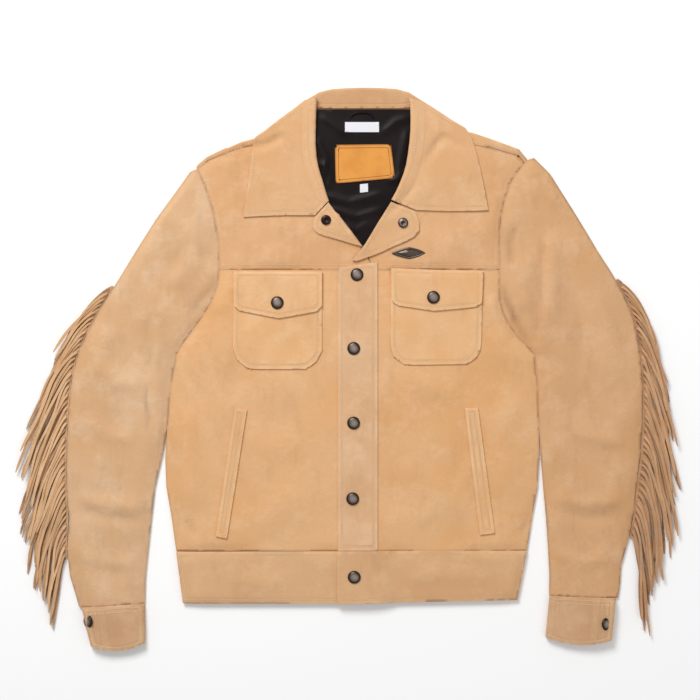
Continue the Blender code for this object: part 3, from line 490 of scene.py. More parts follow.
@dataclass(frozen=True)
class Thread(Finish):
    """Sewing thread with its twist."""
    name: str
    color: Color
    slot: str = "tan_suede"

    def make(self) -> bpy.types.Material:
        """Build the material.

        Returns:
            The finished material.
        """
        recipe = Recipe(self.name)
        twist = recipe.noise(2200.0, 1.0, 0.5)
        color = recipe.mix(twist.between(0.35, 0.7) * 0.4, self.color, tuple(0.6 * c for c in self.color))
        return recipe.finish(color, 0.7, twist, 0.2, 0.0002)


@dataclass(frozen=True)
class AgedMetal(Finish):
    """Dark plated metal, painted brighter on its high places: a painted highlight on worn metal."""
    name: str
    dark: Color
    bright: Color
    slot: str = "aged_brass"

    def make(self) -> bpy.types.Material:
        """Build the material.

        Returns:
            The finished material.
        """
        recipe = Recipe(self.name)
        tarnish = recipe.noise(260.0, 4.0, 0.6)
        # Painted highlight on the high places of the metal, over their wear.
        wear_and_highlight = recipe.attribute("wear_and_highlight").between(0.0, 1.0)
        color = recipe.mix(wear_and_highlight * (0.75 + 0.5 * tarnish), self.dark, self.bright)
        return recipe.finish(color, 0.30 + 0.16 * tarnish, tarnish, 0.05, 0.0002, Metallic=1.0)


@dataclass(frozen=True)
class Floor:
    """The pale ground that the jacket lies on."""
    name: str = "pale_ground"
    color: Color = (0.98, 0.98, 0.98)

    def make(self) -> bpy.types.Material:
        """Build the material.

        Returns:
            The finished material.
        """
        recipe = Recipe(self.name)
        return recipe.finish(self.color, 0.9, Specular_IOR_Level=0.1)


class Wardrobe:
    """Keeps one material of each finish, and every piece that wears one."""

    def __init__(self) -> None:
        """Start empty."""
        self.made: dict[str, bpy.types.Material] = {}
        self.pieces: list[bpy.types.Object] = []

    def present(self, form: bpy.types.Mesh | bpy.types.Curve, finish: Finish, *nodes: str) -> bpy.types.Object:
        """Dress a form and put it into the scene as a piece of the jacket.

        Args:
            form: Its mesh or curve, whose name the piece takes.
            finish: Its finish, which names the record's slot.
            nodes: The solids that it stands for.

        Returns:
            The piece.
        """
        piece = bpy.data.objects.new(form.name, form)
        bpy.context.scene.collection.objects.link(piece)
        if finish.name not in self.made:
            self.made[finish.name] = finish.make()
        form.materials.clear()
        form.materials.append(self.made[finish.name])
        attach(piece, "root")
        if nodes:
            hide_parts(*nodes)
        self.pieces.append(piece)
        return piece


BODY = Suede("suede_body", srgb(221, 174, 127), srgb(216, 162, 108), srgb(229, 187, 144), seam_shade=0.5)
YOKE = Suede("suede_yoke", srgb(216, 168, 123), srgb(210, 158, 109), srgb(225, 186, 147), seam_shade=0.5)
SLEEVE_RIGHT = Suede("suede_sleeve_right", srgb(214, 174, 135), srgb(208, 162, 116), srgb(225, 192, 158),
                     painted_shade=srgb(164, 138, 114), cloud=7.0, seam_shade=0.4)
SLEEVE_LEFT = Suede("suede_sleeve_left", srgb(211, 166, 123), srgb(204, 155, 107), srgb(221, 181, 143),
                    painted_shade=srgb(162, 118, 84), cloud=7.0, seam_shade=0.6)
TRIM = Suede("suede_trim", srgb(218, 176, 137), srgb(212, 166, 122), srgb(228, 192, 155), cloud=12.0,
             rubbed_edge=0.45, stitch_groove=0.30)
POCKET = Suede("suede_pocket", srgb(225, 178, 131), srgb(221, 170, 118), srgb(234, 194, 150), cloud=14.0,
               rubbed_edge=0.40, stitch_groove=0.34)
BAND = Suede("suede_band", srgb(214, 170, 127), srgb(208, 160, 114), srgb(222, 184, 142),
             rubbed_edge=0.2, stitch_groove=0.16)
CUFF = Suede("suede_cuff", srgb(203, 162, 124), srgb(194, 150, 110), srgb(214, 178, 140), cloud=20.0,
             rubbed_edge=0.25, stitch_groove=0.25)
COLLAR = Suede("suede_collar", srgb(217, 172, 128), srgb(213, 163, 114), srgb(226, 186, 146),
               rubbed_edge=0.22, stitch_groove=0.22)
STAND = Suede("suede_stand", srgb(204, 159, 118), srgb(196, 148, 104), srgb(214, 174, 134),
              rubbed_edge=0.1, stitch_groove=0.3)
# The fringes' dark colours paint the shade between and under the strands.
FRINGE_RIGHT = Suede("suede_fringe_right", srgb(220, 178, 136), srgb(208, 162, 118), srgb(232, 194, 152),
                     painted_shade=srgb(126, 88, 66), slot="fringe_suede", cloud=40.0)
FRINGE_LEFT = Suede("suede_fringe_left", srgb(202, 157, 118), srgb(190, 143, 102), srgb(214, 174, 134),
                    painted_shade=srgb(106, 72, 52), slot="fringe_suede", cloud=40.0)
TAN_THREAD = Thread("thread_tan", srgb(232, 200, 160))
DARK_THREAD = Thread("thread_dark", srgb(50, 34, 26), slot="label_leather")
SNAP_METAL = AgedMetal("snap_metal", srgb(52, 40, 33), srgb(176, 162, 152))
PIN_METAL = AgedMetal("pin_metal", srgb(46, 38, 33), srgb(104, 92, 82))


@dataclass(frozen=True)
class Crease:
    """A crease in plan: its line, how far it rises or sinks, how wide it is, and how much painted shade darkens it.
    """
    line: tuple[Place, ...]
    rise: float
    width: float
    painted_shade: float = 0.0


@dataclass
class Drape:
    """The folds that all upper pieces share, and those of the lining in the neck.

    The folds die out within still of the seams that are sewn down. Besides its creases the cloth swells and
    puffs up, and it sinks nowhere below deepest.
    """
    creases: Sequence[Crease]
    neck: Sequence[Crease]
    seams: PlanTree
    still: float = 9.0
    swell: float = 1.0
    puff: float = 1.3
    deepest: float = -1.6
    taper: Place = (4.0, 0.15)

    def along(self, place: np.ndarray, crease: Crease) -> np.ndarray:
        """How strongly a crease acts.

        Args:
            place: Places in plan, in millimetres.
            crease: The crease, which tapers towards its ends.

        Returns:
            Its share at each place, from 0 to 1.
        """
        best = np.zeros(len(place))
        line = np.array(crease.line)
        lengths = np.hypot(*np.diff(line, axis=0).T)
        total, passed = lengths.sum(), 0.0
        for start, end, length in zip(line, line[1:], lengths):
            axis = (end - start) / length
            t = np.clip((place - start) @ axis, 0.0, length)
            off = np.hypot(*(place - start - t[:, None] * axis).T)
            share = (passed + t) / total
            ends = soft_step(np.minimum(share, 1 - share) * self.taper[0] + self.taper[1])
            best = np.maximum(best, np.exp(-(off / crease.width) ** 2) * ends)
            passed += length
        return best

    def waves(self, place: np.ndarray) -> np.ndarray:
        """The cloth's own slow swells, crossing waves of 80 to 360 mm."""
        x, y = place.T
        return (np.sin(x / 31.0 + 1.3 * np.sin(y / 57.0)) * np.sin(y / 43.0 + 0.8)
                + 0.5 * np.sin(x / 17.0 + y / 23.0 + 1.0) + 0.4 * np.sin(y / 13.0 - x / 29.0))

    def rise(self, points: np.ndarray, layer: Layer) -> tuple[np.ndarray, np.ndarray]:
        """Rise of the folds, and the painted shade in their creases.

        Args:
            points: Points in metres.
            layer: Which folds the piece lies in.

        Returns:
            The rise in metres and the painted crease shade from 0 to 1.
        """
        place = points[:, :2] / MM
        height = np.zeros(len(place))
        painted_shade = np.zeros(len(place))
        if layer is Layer.FLAT:
            return height, painted_shade
        for crease in (self.neck if layer is Layer.NECK else self.creases):
            act = self.along(place, crease)
            height += crease.rise * act
            painted_shade = np.maximum(painted_shade, crease.painted_shade * act)
        if layer is Layer.NECK:
            return height * MM, painted_shade
        height += self.swell * self.waves(place) + self.puff
        near = np.array([self.seams.near(point) for point in points])
        height *= soft_step(near / (self.still * MM))
        return np.maximum(height, self.deepest) * MM, painted_shade

    def seat(self, node: str) -> tuple[np.ndarray, np.ndarray]:
        """Find where a small fitting sits on the cloth.

        Args:
            node: The fitting's solid.

        Returns:
            The middle of its foot, lifted as the cloth is, and half of its size.
        """
        low, high = (np.array(corner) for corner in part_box(node))
        foot = np.array(((low[0] + high[0]) / 2, (low[1] + high[1]) / 2, low[2]))
        foot[2] += self.rise(foot[None], Layer.UPPER)[0][0]
        return foot, (high - low) / 2


@dataclass(frozen=True)
class StitchRow:
    """Stitches that follow the outline of a piece at a distance, where the test allows them."""
    inset: float
    where: Callable[[float, float], bool] = lambda x, y: True
    length: float = 2.5
    pitch: float = 3.5


@dataclass(frozen=True)
class Spot:
    """A box in plan where the edges that face across its narrow way reach further out."""
    x0: float
    y0: float
    x1: float
    y1: float
    more: float

    def adds(self, x: float, y: float, out: Vector) -> float:
        """What it adds at a place whose edge faces a direction."""
        facing = out.x if self.x1 - self.x0 < self.y1 - self.y0 else out.y
        return self.more if self.x0 < x < self.x1 and self.y0 < y < self.y1 and abs(facing) > FACING else 0.0


@dataclass
class Panel:
    """A cloth piece: the fine shell on its solid's form, cut into cells, laid in the folds and sewn.

    Its cut edges reach out by grow, and further at the spots, which closes the sewn seams; a lower edge
    comes down to sewn_at. Corners blunter than blunt degrees are rounded soften times. The underside of an
    upper piece sinks by tuck. A wrapped piece lies on the ground and takes the folds only at its top.
    """
    node: str
    finish: Finish
    layer: Layer = Layer.UPPER
    cell: float = 5.0
    held: Held = Held.LAID
    rests_on: tuple[str, ...] = ("back",)
    cut: Place | None = None
    stitches: tuple[StitchRow, ...] = ()
    thread: Thread = TAN_THREAD
    wrapped: bool = False
    grow: float = 0.0
    spots: tuple[Spot, ...] = ()
    soften: int = 0
    blunt: float = 118.0
    tuck: float = 0.3
    sewn_at: float | None = None
    sewn_reach: float = 6.0
    least_size: float = 10.1
    first_cut: float = 0.45
    sharp: float = 42.0
    wrap_from: float = 4.0
    wrap_over: float = 2.6
    piece: bpy.types.Object | None = None
    top: BVHTree | None = None

    @staticmethod
    def is_wall(face: bmesh.types.BMFace) -> bool:
        """Whether a face belongs to the cut edge."""
        return abs(face.normal.z) < WALL

    def round_corners(self, rim: Iterable[bmesh.types.BMVert]) -> None:
        """Draw the blunt corners of the cut edge in a little.

        Args:
            rim: The points of the cut edge.
        """
        moved = {}
        for vert in rim:
            ends = [edge.other_vert(vert) for edge in vert.link_edges
                    if edge.other_vert(vert) in rim and sum(map(self.is_wall, edge.link_faces)) == 1]
            if len(ends) != 2:
                continue
            before, after = ((end.co - vert.co).to_2d() for end in ends)
            if min(before.length, after.length) > NO_STEP and before.angle(after) > math.radians(self.blunt):
                moved[vert] = (before + after) / 4
        for vert, step in moved.items():
            vert.co.x += step.x
            vert.co.y += step.y

    def ease_rim(self, made: bmesh.types.BMesh) -> None:
        """Round the cut edge, and let it meet the neighbours that it is sewn to.

        Args:
            made: The form.
        """
        outward: dict[bmesh.types.BMVert, Vector] = {}
        for face in filter(self.is_wall, made.faces):
            for vert in face.verts:
                outward[vert] = outward.get(vert, Vector((0, 0, 0))) + face.normal * face.calc_area()
        for _ in range(self.soften):
            self.round_corners(outward)
        for vert, normal in outward.items():
            flat = normal.to_2d()
            if flat.length < NO_STEP:
                continue
            flat.normalize()
            x, y = vert.co.x / MM, vert.co.y / MM
            reach = self.grow + sum(spot.adds(x, y, flat) for spot in self.spots)
            vert.co.x += flat.x * reach * MM
            vert.co.y += flat.y * reach * MM
            if self.sewn_at is not None and flat.y < -FACING and y < self.sewn_at + self.sewn_reach:
                vert.co.y = self.sewn_at * MM
            if self.layer is Layer.UPPER and any(face.normal.z < -0.5 for face in vert.link_faces):
                vert.co.z -= self.tuck * MM

    @staticmethod
    def slice(made: bmesh.types.BMesh, parts: list, axis: int, planes: list[float]) -> None:
        """Cut a form by planes across an axis, halving the work each time.

        Args:
            made: The form.
            parts: The points, edges and faces that the planes may cut.
            axis: 0 for X, 1 for Y.
            planes: Where the planes stand, in rising order.
        """
        if not planes or not parts:
            return
        half = len(planes) // 2
        at = planes[half]
        point, normal = [0.0] * 3, [0.0] * 3
        point[axis], normal[axis] = at, 1.0
        parts = bmesh.ops.bisect_plane(made, geom=parts, dist=TINY, plane_co=point, plane_no=normal)["geom"]
        low, high = [], []
        for part in parts:
            verts = (part,) if isinstance(part, bmesh.types.BMVert) else part.verts
            centre = sum(vert.co[axis] for vert in verts) / len(verts)
            if centre <= at + TINY:
                low.append(part)
            if centre >= at - TINY:
                high.append(part)
        Panel.slice(made, low, axis, planes[:half])
        Panel.slice(made, high, axis, planes[half + 1:])

    def build(self, frame: dict, drape: Drape, wardrobe: Wardrobe) -> bpy.types.Object:
        """Make the piece.

        Args:
            frame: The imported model.
            drape: The folds.
            wardrobe: The materials.

        Returns:
            The finished piece.
        """
        made = bmesh.new()
        made.from_mesh(frame["nodes"][self.node].data)
        bmesh.ops.remove_doubles(made, verts=made.verts, dist=TINY)
        low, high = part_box(self.node)
        step = self.cell * MM
        for axis in (0, 1):
            planes = list(np.arange(low[axis] + self.first_cut * step, high[axis], step))
            self.slice(made, made.verts[:] + made.edges[:] + made.faces[:], axis, planes)
        bmesh.ops.dissolve_degenerate(made, dist=TINY, edges=made.edges)
        made.normal_update()
        self.ease_rim(made)
        points = np.array([vert.co for vert in made.verts])
        rim = PlanTree(self.rim_places(made))
        rise, painted_shade = drape.rise(points, self.layer)
        if self.wrapped:
            rise *= soft_step((points[:, 2] / MM - self.wrap_from) / self.wrap_over)
        for vert, up in zip(made.verts, rise):
            vert.co.z += up
        mesh = shaded(made, self.node + "_cloth", self.sharp)
        store(mesh, "edge_mm", [rim.near(point) / MM for point in points])
        # Painted crease shade, for the material to darken the creases.
        store(mesh, "fold", painted_shade)
        self.top = BVHTree.FromPolygons([v.co for v in mesh.vertices], [list(p.vertices) for p in mesh.polygons])
        self.piece = wardrobe.present(mesh, self.finish, self.node)
        return self.piece

    @staticmethod
    def rim_places(made: bmesh.types.BMesh, apart: float = 1.5) -> np.ndarray:
        """Find places in plan along the cut edges of a form.

        Args:
            made: The form.
            apart: About how far apart they are, in millimetres.

        Returns:
            The places in metres.
        """
        places = []
        for face in filter(Panel.is_wall, made.faces):
            for a, b in zip(face.verts, list(face.verts[1:]) + [face.verts[0]]):
                steps = max(1, int((a.co - b.co).length / (apart * MM)))
                places += [a.co.lerp(b.co, i / steps)[:2] for i in range(steps)]
        return np.array(places) if places else np.zeros((1, 2))

    def outline(self) -> list[np.ndarray]:
        """Follow the rim of the upper face.

        Returns:
            Its loops in plan, in metres.
        """
        made = bmesh.new()
        made.from_mesh(self.piece.data)
        made.normal_update()
        steps: dict[int, list[int]] = {}
        for edge in made.edges:
            tops = [face for face in edge.link_faces if face.normal.z > 0.5]
            if len(tops) == 1 and len(edge.link_faces) == 2:
                loop = [l for l in tops[0].loops if l.edge == edge][0]
                steps.setdefault(loop.vert.index, []).append(loop.link_loop_next.vert.index)
        made.verts.ensure_lookup_table()
        loops = []
        while steps:
            start = here = next(iter(steps))
            path = [here]
            while here in steps:
                following = steps[here].pop()
                if not steps[here]:
                    del steps[here]
                here = following
                if here == start:
                    break
                path.append(here)
            if len(path) > 8:
                loops.append(np.array([made.verts[i].co[:2] for i in path]))
        made.free()
        return loops

    def sew(self, sewing: "Sewing") -> None:
        """Hand this piece's rows of stitches to the sewing.

        Args:
            sewing: The sewing of its thread.
        """
        for row in self.stitches:
            for loop in self.outline():
                sewing.follow(self, loop, row)

    def declare(self, others: Sequence[bpy.types.Object]) -> None:
        """Work out the cloth's cut size; nothing keeps the result.

        Args:
            others: The separate pieces on it; not used.
        """
        area = sum(face.area for face in self.piece.data.polygons) / 2
        low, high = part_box(self.node)
        size = self.cut or tuple(max(self.least_size, (high[i] - low[i]) / MM) for i in (0, 1))
        width, length = (value * MM for value in size)
        grow = math.sqrt(max(1.0, area / (width * length)))
        width * grow
        length * grow


@dataclass
class Sewing:
    """All stitches of one thread, each a small raised bar on the leather.

    A run of fewer than fewest stitches is left out, and so is a stitch nearer to another edge than its
    row's inset, or one over a step higher than step.
    """
    thread: Thread
    width: float = 0.75
    proud: float = 0.32
    sunk: float = 0.6
    crown: float = 0.6
    sections: tuple[Place, ...] = ((0.0, 0.5), (0.2, 1.0), (0.8, 1.0), (1.0, 0.5))
    fewest: int = 6
    corner: float = 0.86
    step: float = 1.2
    bars: list[tuple[np.ndarray, np.ndarray]] = field(default_factory=list)

    def follow(self, panel: Panel, loop: np.ndarray, row: StitchRow) -> None:
        """Lay stitches along an outline, at a distance inside it.

        Args:
            panel: The piece that is sewn.
            loop: Its outline in plan.
            row: The row of stitches.
        """
        closed = np.vstack([loop, loop[:1]])
        steps = np.hypot(*np.diff(closed, axis=0).T)
        knots = np.concatenate([[0.0], np.cumsum(steps)])
        count = int(knots[-1] / (row.pitch * MM))
        if count < self.fewest:
            return
        at = np.linspace(0.0, knots[-1], count, endpoint=False)
        line = np.column_stack([np.interp(at, knots, closed[:, i]) for i in (0, 1)])
        smooth = sum(np.roll(line, shift, 0) for shift in (2, 1, 0, -1, -2)) / 5
        along = np.roll(smooth, -1, 0) - np.roll(smooth, 1, 0)
        along /= np.maximum(1e-9, np.hypot(*along.T))[:, None]
        inner = line + np.column_stack([-along[:, 1], along[:, 0]]) * row.inset * MM
        edge = PlanTree(line)
        for place, direction in zip(inner, along):
            if edge.near(place) >= row.inset * MM * self.corner and row.where(*(place / MM)):
                self.bar(panel.top, place, direction, row.length * MM)

    def bar(self, surface: BVHTree, place: np.ndarray, direction: np.ndarray, length: float) -> None:
        """Lay one stitch.

        Args:
            surface: The piece that it lies on.
            place: Its middle in plan.
            direction: The way it runs.
            length: Its length.
        """
        ends = []
        for side in (-0.5, 0.5):
            spot = place + direction * length * side
            hit = surface.ray_cast(Vector((spot[0], spot[1], 0.1)), Vector((0, 0, -1)))
            if hit[0] is None:
                return
            ends.append(np.array(hit[0]))
        if abs(ends[0][2] - ends[1][2]) < self.step * MM:
            self.bars.append((ends[0], ends[1]))

    def build(self, wardrobe: Wardrobe) -> bpy.types.Object:
        """Make one piece of all the stitches.

        Args:
            wardrobe: The materials.

        Returns:
            The finished piece.
        """
        verts, faces = [], []
        up = np.array((0, 0, self.proud * MM))
        for start, end in self.bars:
            axis = end - start
            side = np.array((-axis[1], axis[0], 0.0))
            side *= self.width * MM / 2 / np.linalg.norm(side)
            base = len(verts)
            for along, share in self.sections:
                centre, reach = start + axis * along, side * share
                lower, upper = centre - up * self.sunk, centre + up * (2 * share - 1)
                verts += [lower - reach, lower + reach, upper + reach * self.crown, upper - reach * self.crown]
            for low in range(base, base + 12, 4):
                faces += [(low + k, low + (k + 1) % 4, low + 4 + (k + 1) % 4, low + 4 + k) for k in range(4)]
            faces += [(base + 3, base + 2, base + 1, base), (base + 12, base + 13, base + 14, base + 15)]
        mesh = bpy.data.meshes.new("stitches_" + self.thread.name)
        mesh.from_pydata([tuple(v) for v in verts], [], faces)
        mesh.shade_smooth()
        return wardrobe.present(mesh, self.thread)


@dataclass(frozen=True)
class Tilt:
    """How a snap on a turned cuff leans: its angle about Y in degrees, its shift along X and its sinking."""
    angle: float
    shift: float
    sink: float


@dataclass
class Snaps:
    """Snap caps and the open sockets on the lapels, turned from their profiles.

    A profile runs from the top of the axis to the foot, in shares of the radius and the height. The middle
    of a cap and the ring of a socket carry a painted highlight on worn metal; a socket in the dimmed list keeps
    only a small share of it.
    """
    caps: tuple[str, ...] = ("snap_placket_1", "snap_placket_2", "snap_placket_3", "snap_placket_4",
                             "snap_waistband", "snap_flap_right", "snap_flap_left", "snap_cuff_right",
                             "snap_cuff_left")
    sockets: tuple[str, ...] = ("snap_lapel_right", "snap_lapel_left")
    dimmed_sockets: tuple[str, ...] = ("snap_lapel_right",)
    cap_profile: tuple[Place, ...] = ((0.0, 1.0), (0.30, 0.985), (0.52, 0.93), (0.70, 0.83), (0.83, 0.68),
                                      (0.885, 0.52), (0.90, 0.40), (0.945, 0.42), (0.985, 0.36), (1.0, 0.22),
                                      (0.985, 0.06), (0.93, 0.0), (0.0, 0.0))
    socket_profile: tuple[Place, ...] = ((0.0, 0.30), (0.34, 0.30), (0.40, 0.42), (0.44, 0.86), (0.54, 1.0),
                                         (0.64, 0.86), (0.70, 0.62), (0.86, 0.55), (0.97, 0.40), (1.0, 0.18),
                                         (0.96, 0.0), (0.0, 0.0))
    tilts: dict[str, Tilt] = field(default_factory=lambda: {"snap_cuff_right": Tilt(-38.0, -6.5, -2.8),
                                                            "snap_cuff_left": Tilt(32.0, 1.5, -2.0)})
    steps: int = 40
    sharp: float = 50.0
    tarnish: float = 0.2

    def wear_and_highlight(self, shares: np.ndarray, node: str) -> np.ndarray:
        """Brightness of the painted highlight on the worn metal at shares of the radius."""
        if node in self.caps:
            return np.exp(-(shares / 0.62) ** 2)
        return np.exp(-((shares - 0.56) / 0.2) ** 2) * (self.tarnish if node in self.dimmed_sockets else 1.0)

    def build(self, drape: Drape, wardrobe: Wardrobe) -> None:
        """Turn every snap in the place of its solid.

        Args:
            drape: The folds that they ride on.
            wardrobe: The materials.
        """
        for node in self.caps + self.sockets:
            foot, half = drape.seat(node)
            radius = half[0]
            made = bmesh.new()
            turn(made, self.cap_profile if node in self.caps else self.socket_profile, foot,
                 (radius, radius, half[2]), self.steps)
            shares = np.array([math.hypot(vert.co.x - foot[0], vert.co.y - foot[1]) for vert in made.verts]) / radius
            if node in self.tilts:
                tilt = self.tilts[node]
                moved = Matrix.Translation(Vector(foot) + Vector((tilt.shift, 0, tilt.sink)) * MM)
                made.transform(moved @ Matrix.Rotation(math.radians(tilt.angle), 4, "Y")
                               @ Matrix.Translation(-Vector(foot)))
            mesh = shaded(made, node + "_metal", self.sharp)
            # Painted highlight on the cap's dome or the socket's ring.
            store(mesh, "wear_and_highlight", self.wear_and_highlight(shares, node))
            wardrobe.present(mesh, SNAP_METAL, node)


@dataclass
class Pin:
    """A plain lozenge pin with a stepped, soft-edged face.

    Each point of its profile, from the top down, has its share of the width, its share of the height, and
    how bright its painted highlight on the worn metal is.
    """
    node: str = "badge"
    profile: tuple[Triple, ...] = ((0.02, 1.0, 0.75), (0.58, 0.86, 0.75), (0.66, 0.5, 0.2), (0.74, 0.5, 0.9),
                                   (0.80, 0.66, 0.9), (0.90, 0.62, 0.9), (1.0, 0.35, 0.1), (1.0, 0.0, 0.1))
    corners: int = 48
    bow: float = 1.25
    sharp: float = 40.0

    def build(self, drape: Drape, wardrobe: Wardrobe) -> bpy.types.Object:
        """Make the pin.

        Args:
            drape: The folds that it rides on.
            wardrobe: The materials.

        Returns:
            The finished pin.
        """
        foot, half = drape.seat(self.node)
        made = bmesh.new()
        turn(made, [(share, rise) for share, rise, _ in self.profile], foot, tuple(half), self.corners, self.bow)
        mesh = shaded(made, "lozenge_pin", self.sharp)
        # Each ring takes its painted highlight from the profile.
        store(mesh, "wear_and_highlight", [shine for *_, shine in self.profile for _ in range(self.corners)])
        return wardrobe.present(mesh, PIN_METAL, self.node)


@dataclass
class HangerLoop:
    """The satin loop inside the back neck, its ends sewn down."""
    node: str = "hanger_loop"
    radius: float = 0.95
    points: int = 25
    lift: float = 0.3
    fullness: float = 0.8

    def build(self, wardrobe: Wardrobe) -> bpy.types.Object:
        """Make the loop as a rouleau.

        Args:
            wardrobe: The materials.

        Returns:
            The finished loop.
        """
        low, high = (np.array(corner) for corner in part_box(self.node))
        curve = bpy.data.curves.new("satin_loop", "CURVE")
        curve.dimensions = "3D"
        curve.bevel_depth = self.radius * MM
        curve.bevel_resolution = 3
        curve.use_fill_caps = True
        line = curve.splines.new("POLY")
        line.points.add(self.points - 1)
        middle = (low + high) / 2
        half = (high[0] - low[0]) / 2 - self.radius * MM
        tall = high[1] - low[1] - 2 * self.radius * MM
        for i, point in enumerate(line.points):
            angle = math.pi * i / (self.points - 1)
            point.co = (middle[0] - half * math.cos(angle),
                        low[1] + self.radius * MM + tall * math.sin(angle) ** self.fullness,
                        middle[2] + self.lift * MM * math.sin(2 * angle), 1.0)
        return wardrobe.present(curve, Satin(), self.node)


@dataclass(frozen=True)
class Root:
    """A point of the outer sleeve seam: its place, how fast strands drift out there, and their length."""
    x: float
    y: float
    drift: float
    length: float
    bend: float = 40.0


@dataclass
class Fringe:
    """Cut strands that leave one strip on the outer sleeve seam, turn down and overlap.

    The strands lie in layers that rise by step_up from lowest, the lower ones darkened by painted shade, as are
    their roots and the strip under them. The pairs are ranges for the dice: shares of the length, bend and
    width, then the waves' size, start and length, and the roll and lean of a strand, which tufts vary slowly
    down the seam.
    """
    side: Side
    roots: Sequence[Root]
    finish: Suede
    seed: int
    pitch: float = 4.0
    width: float = 3.5
    thick: float = 1.0
    layers: int = 7
    lowest: float = 0.35
    step_up: float = 1.12
    reach_out: float = 11.5
    clearance: float = 0.9
    ring_step: float = 7.0
    lengths: Place = (0.72, 1.04)
    bends: Place = (0.8, 1.25)
    widths: Place = (0.72, 1.2)
    waves: Place = (0.4, 2.6)
    phases: Place = (0.0, 6.3)
    beats: Place = (13.0, 30.0)
    rolls: Place = (-0.3, 0.3)
    leans: Place = (-0.08, 0.03)
    tufts: float = 0.04
    tone_spread: float = 0.5
    depth_shade: float = 0.6
    root_out: float = 1.4
    root_height: float = 2.0
    root_bend: float = 12.0
    root_gather: float = 0.8
    root_shade: float = 0.25
    settled: float = 9.0
    wavy_from: float = 50.0
    feel: float = 18.0
    tips: tuple[float, ...] = (0.8, 0.3)
    strip: Triple = (3.0, 1.9, 1.25)
    strip_shade: float = 0.6
    inside: float = 12.0
    sharp: float = 50.0
    tones: list[float] = field(default_factory=list)

    def __post_init__(self) -> None:
        """Work out the seam's line."""
        self.line = np.array([(root.x, root.y) for root in self.roots])
        self.knots = np.concatenate([[0.0], np.cumsum(np.hypot(*np.diff(self.line, axis=0).T))])

    def value(self, name: str, at: np.ndarray | float) -> np.ndarray | float:
        """One of the seam's values at a distance along it."""
        return np.interp(at, self.knots, [getattr(root, name) for root in self.roots])

    def place(self, at: float) -> np.ndarray:
        """The place at a distance along the seam."""
        return np.array([self.value("x", at), self.value("y", at)])

    def seam(self, at: float) -> tuple[np.ndarray, np.ndarray]:
        """Find a place on the seam, or straight on beyond its end.

        Args:
            at: The distance along the seam.

        Returns:
            The place, and the way out of the seam.
        """
        here = min(at, self.knots[-1])
        down = self.place(here + self.feel) - self.place(here - self.feel)
        down /= np.hypot(*down)
        out = np.array((-down[1], down[0]))
        if out[0] * self.side.value < 0:
            out = -out
        return self.place(here) + down * max(0.0, at - self.knots[-1]), out

    def drift(self, start: float, end: float) -> float:
        """How far a strand drifts out between two distances along the seam."""
        rates = self.value("drift", np.minimum(np.linspace(start, end, 8), self.knots[-1]))
        return float(rates.mean()) * (end - start)

    def section(self, made: bmesh.types.BMesh, a: np.ndarray, b: np.ndarray, low: Place,
                thick: float) -> list[bmesh.types.BMVert]:
        """Four points of a band's section, from two places in plan and their heights."""
        return [made.verts.new((p[0] * MM, p[1] * MM, z * MM)) for p, z in
                ((a, low[0]), (b, low[1]), (b, low[1] + thick), (a, low[0] + thick))]

    def strand(self, made: bmesh.types.BMesh, index: int, dice: random.Random) -> None:
        """Add one strand.

        Args:
            made: The form that it joins.
            index: Its number down the seam.
            dice: Source of its small differences.
        """
        start = self.pitch * (index + 0.5)
        length = float(self.value("length", start)) * dice.uniform(*self.lengths)
        bend = float(self.value("bend", start)) * dice.uniform(*self.bends)
        rank = index * 3 % self.layers
        level = self.lowest + rank * self.step_up
        wave, phase, beat = dice.uniform(*self.waves), dice.uniform(*self.phases), dice.uniform(*self.beats)
        roll = dice.uniform(*self.rolls)
        lean = dice.uniform(*self.leans) + self.tufts * math.sin(1.7 * index) * math.sin(0.31 * index)
        width = self.width * dice.uniform(*self.widths)
        # A random tone, plus painted shade that darkens the lower layers.
        tone = dice.uniform(0.0, self.tone_spread) + self.depth_shade * (1.0 - rank / (self.layers - 1))
        early = min(bend, self.root_bend)
        count = max(8, int(length / self.ring_step))
        reaches = [0.0, 3.0] + [5.0 + (length - 5.0) * (i / count) for i in range(count + 1)]
        tapers = [1.0] * (len(reaches) - len(self.tips)) + list(self.tips)
        rings, before = [], None
        for along, taper in zip(reaches, tapers):
            run = along - early * (1.0 - math.exp(-along / early)) * self.root_gather
            outwards = self.root_out + self.reach_out * (1.0 - math.exp(-along / bend))
            outwards += self.drift(start, start + run) + lean * run
            outwards += wave * math.sin(phase + along / beat) * min(1.0, along / self.wavy_from)
            place, out = self.seam(start + run)
            centre = place + out * (max(outwards, 1.0) + self.clearance)
            heading = out
            if before is not None:
                heading = centre - before
                heading = heading / max(NO_STEP, np.hypot(*heading))
            before = centre
            settle = min(1.0, along / self.settled)
            height = self.root_height * (1 - settle) + level * settle
            tilt = roll * settle * width / 2
            half = np.array((heading[1], -heading[0])) * self.side.value * width / 2 * taper
            low = (max(self.lowest, height - tilt), max(self.lowest, height + tilt))
            rings.append(self.section(made, centre - half, centre + half, low, self.thick))
            self.tones += [min(1.0, tone + self.root_shade * (1.0 - settle))] * 4
        skin(made, rings)

    def build(self, wardrobe: Wardrobe) -> bpy.types.Object:
        """Make the fringe of one sleeve.

        Args:
            wardrobe: The materials.

        Returns:
            The finished fringe.
        """
        dice = random.Random(self.seed)
        made = bmesh.new()
        for index in range(int(self.knots[-1] / self.pitch)):
            self.strand(made, index, dice)
        width, low, thick = self.strip
        rings = []
        for at in np.arange(0.0, self.knots[-1], self.pitch):
            place, out = self.seam(at)
            rings.append(self.section(made, place + out * self.clearance, place + out * (self.clearance + width),
                                      (low, low), thick))
        skin(made, rings)
        bmesh.ops.recalc_face_normals(made, faces=made.faces)
        name = "fringe_" + self.side.word
        mesh = shaded(made, name + "_strands", self.sharp)
        count = len(mesh.vertices)
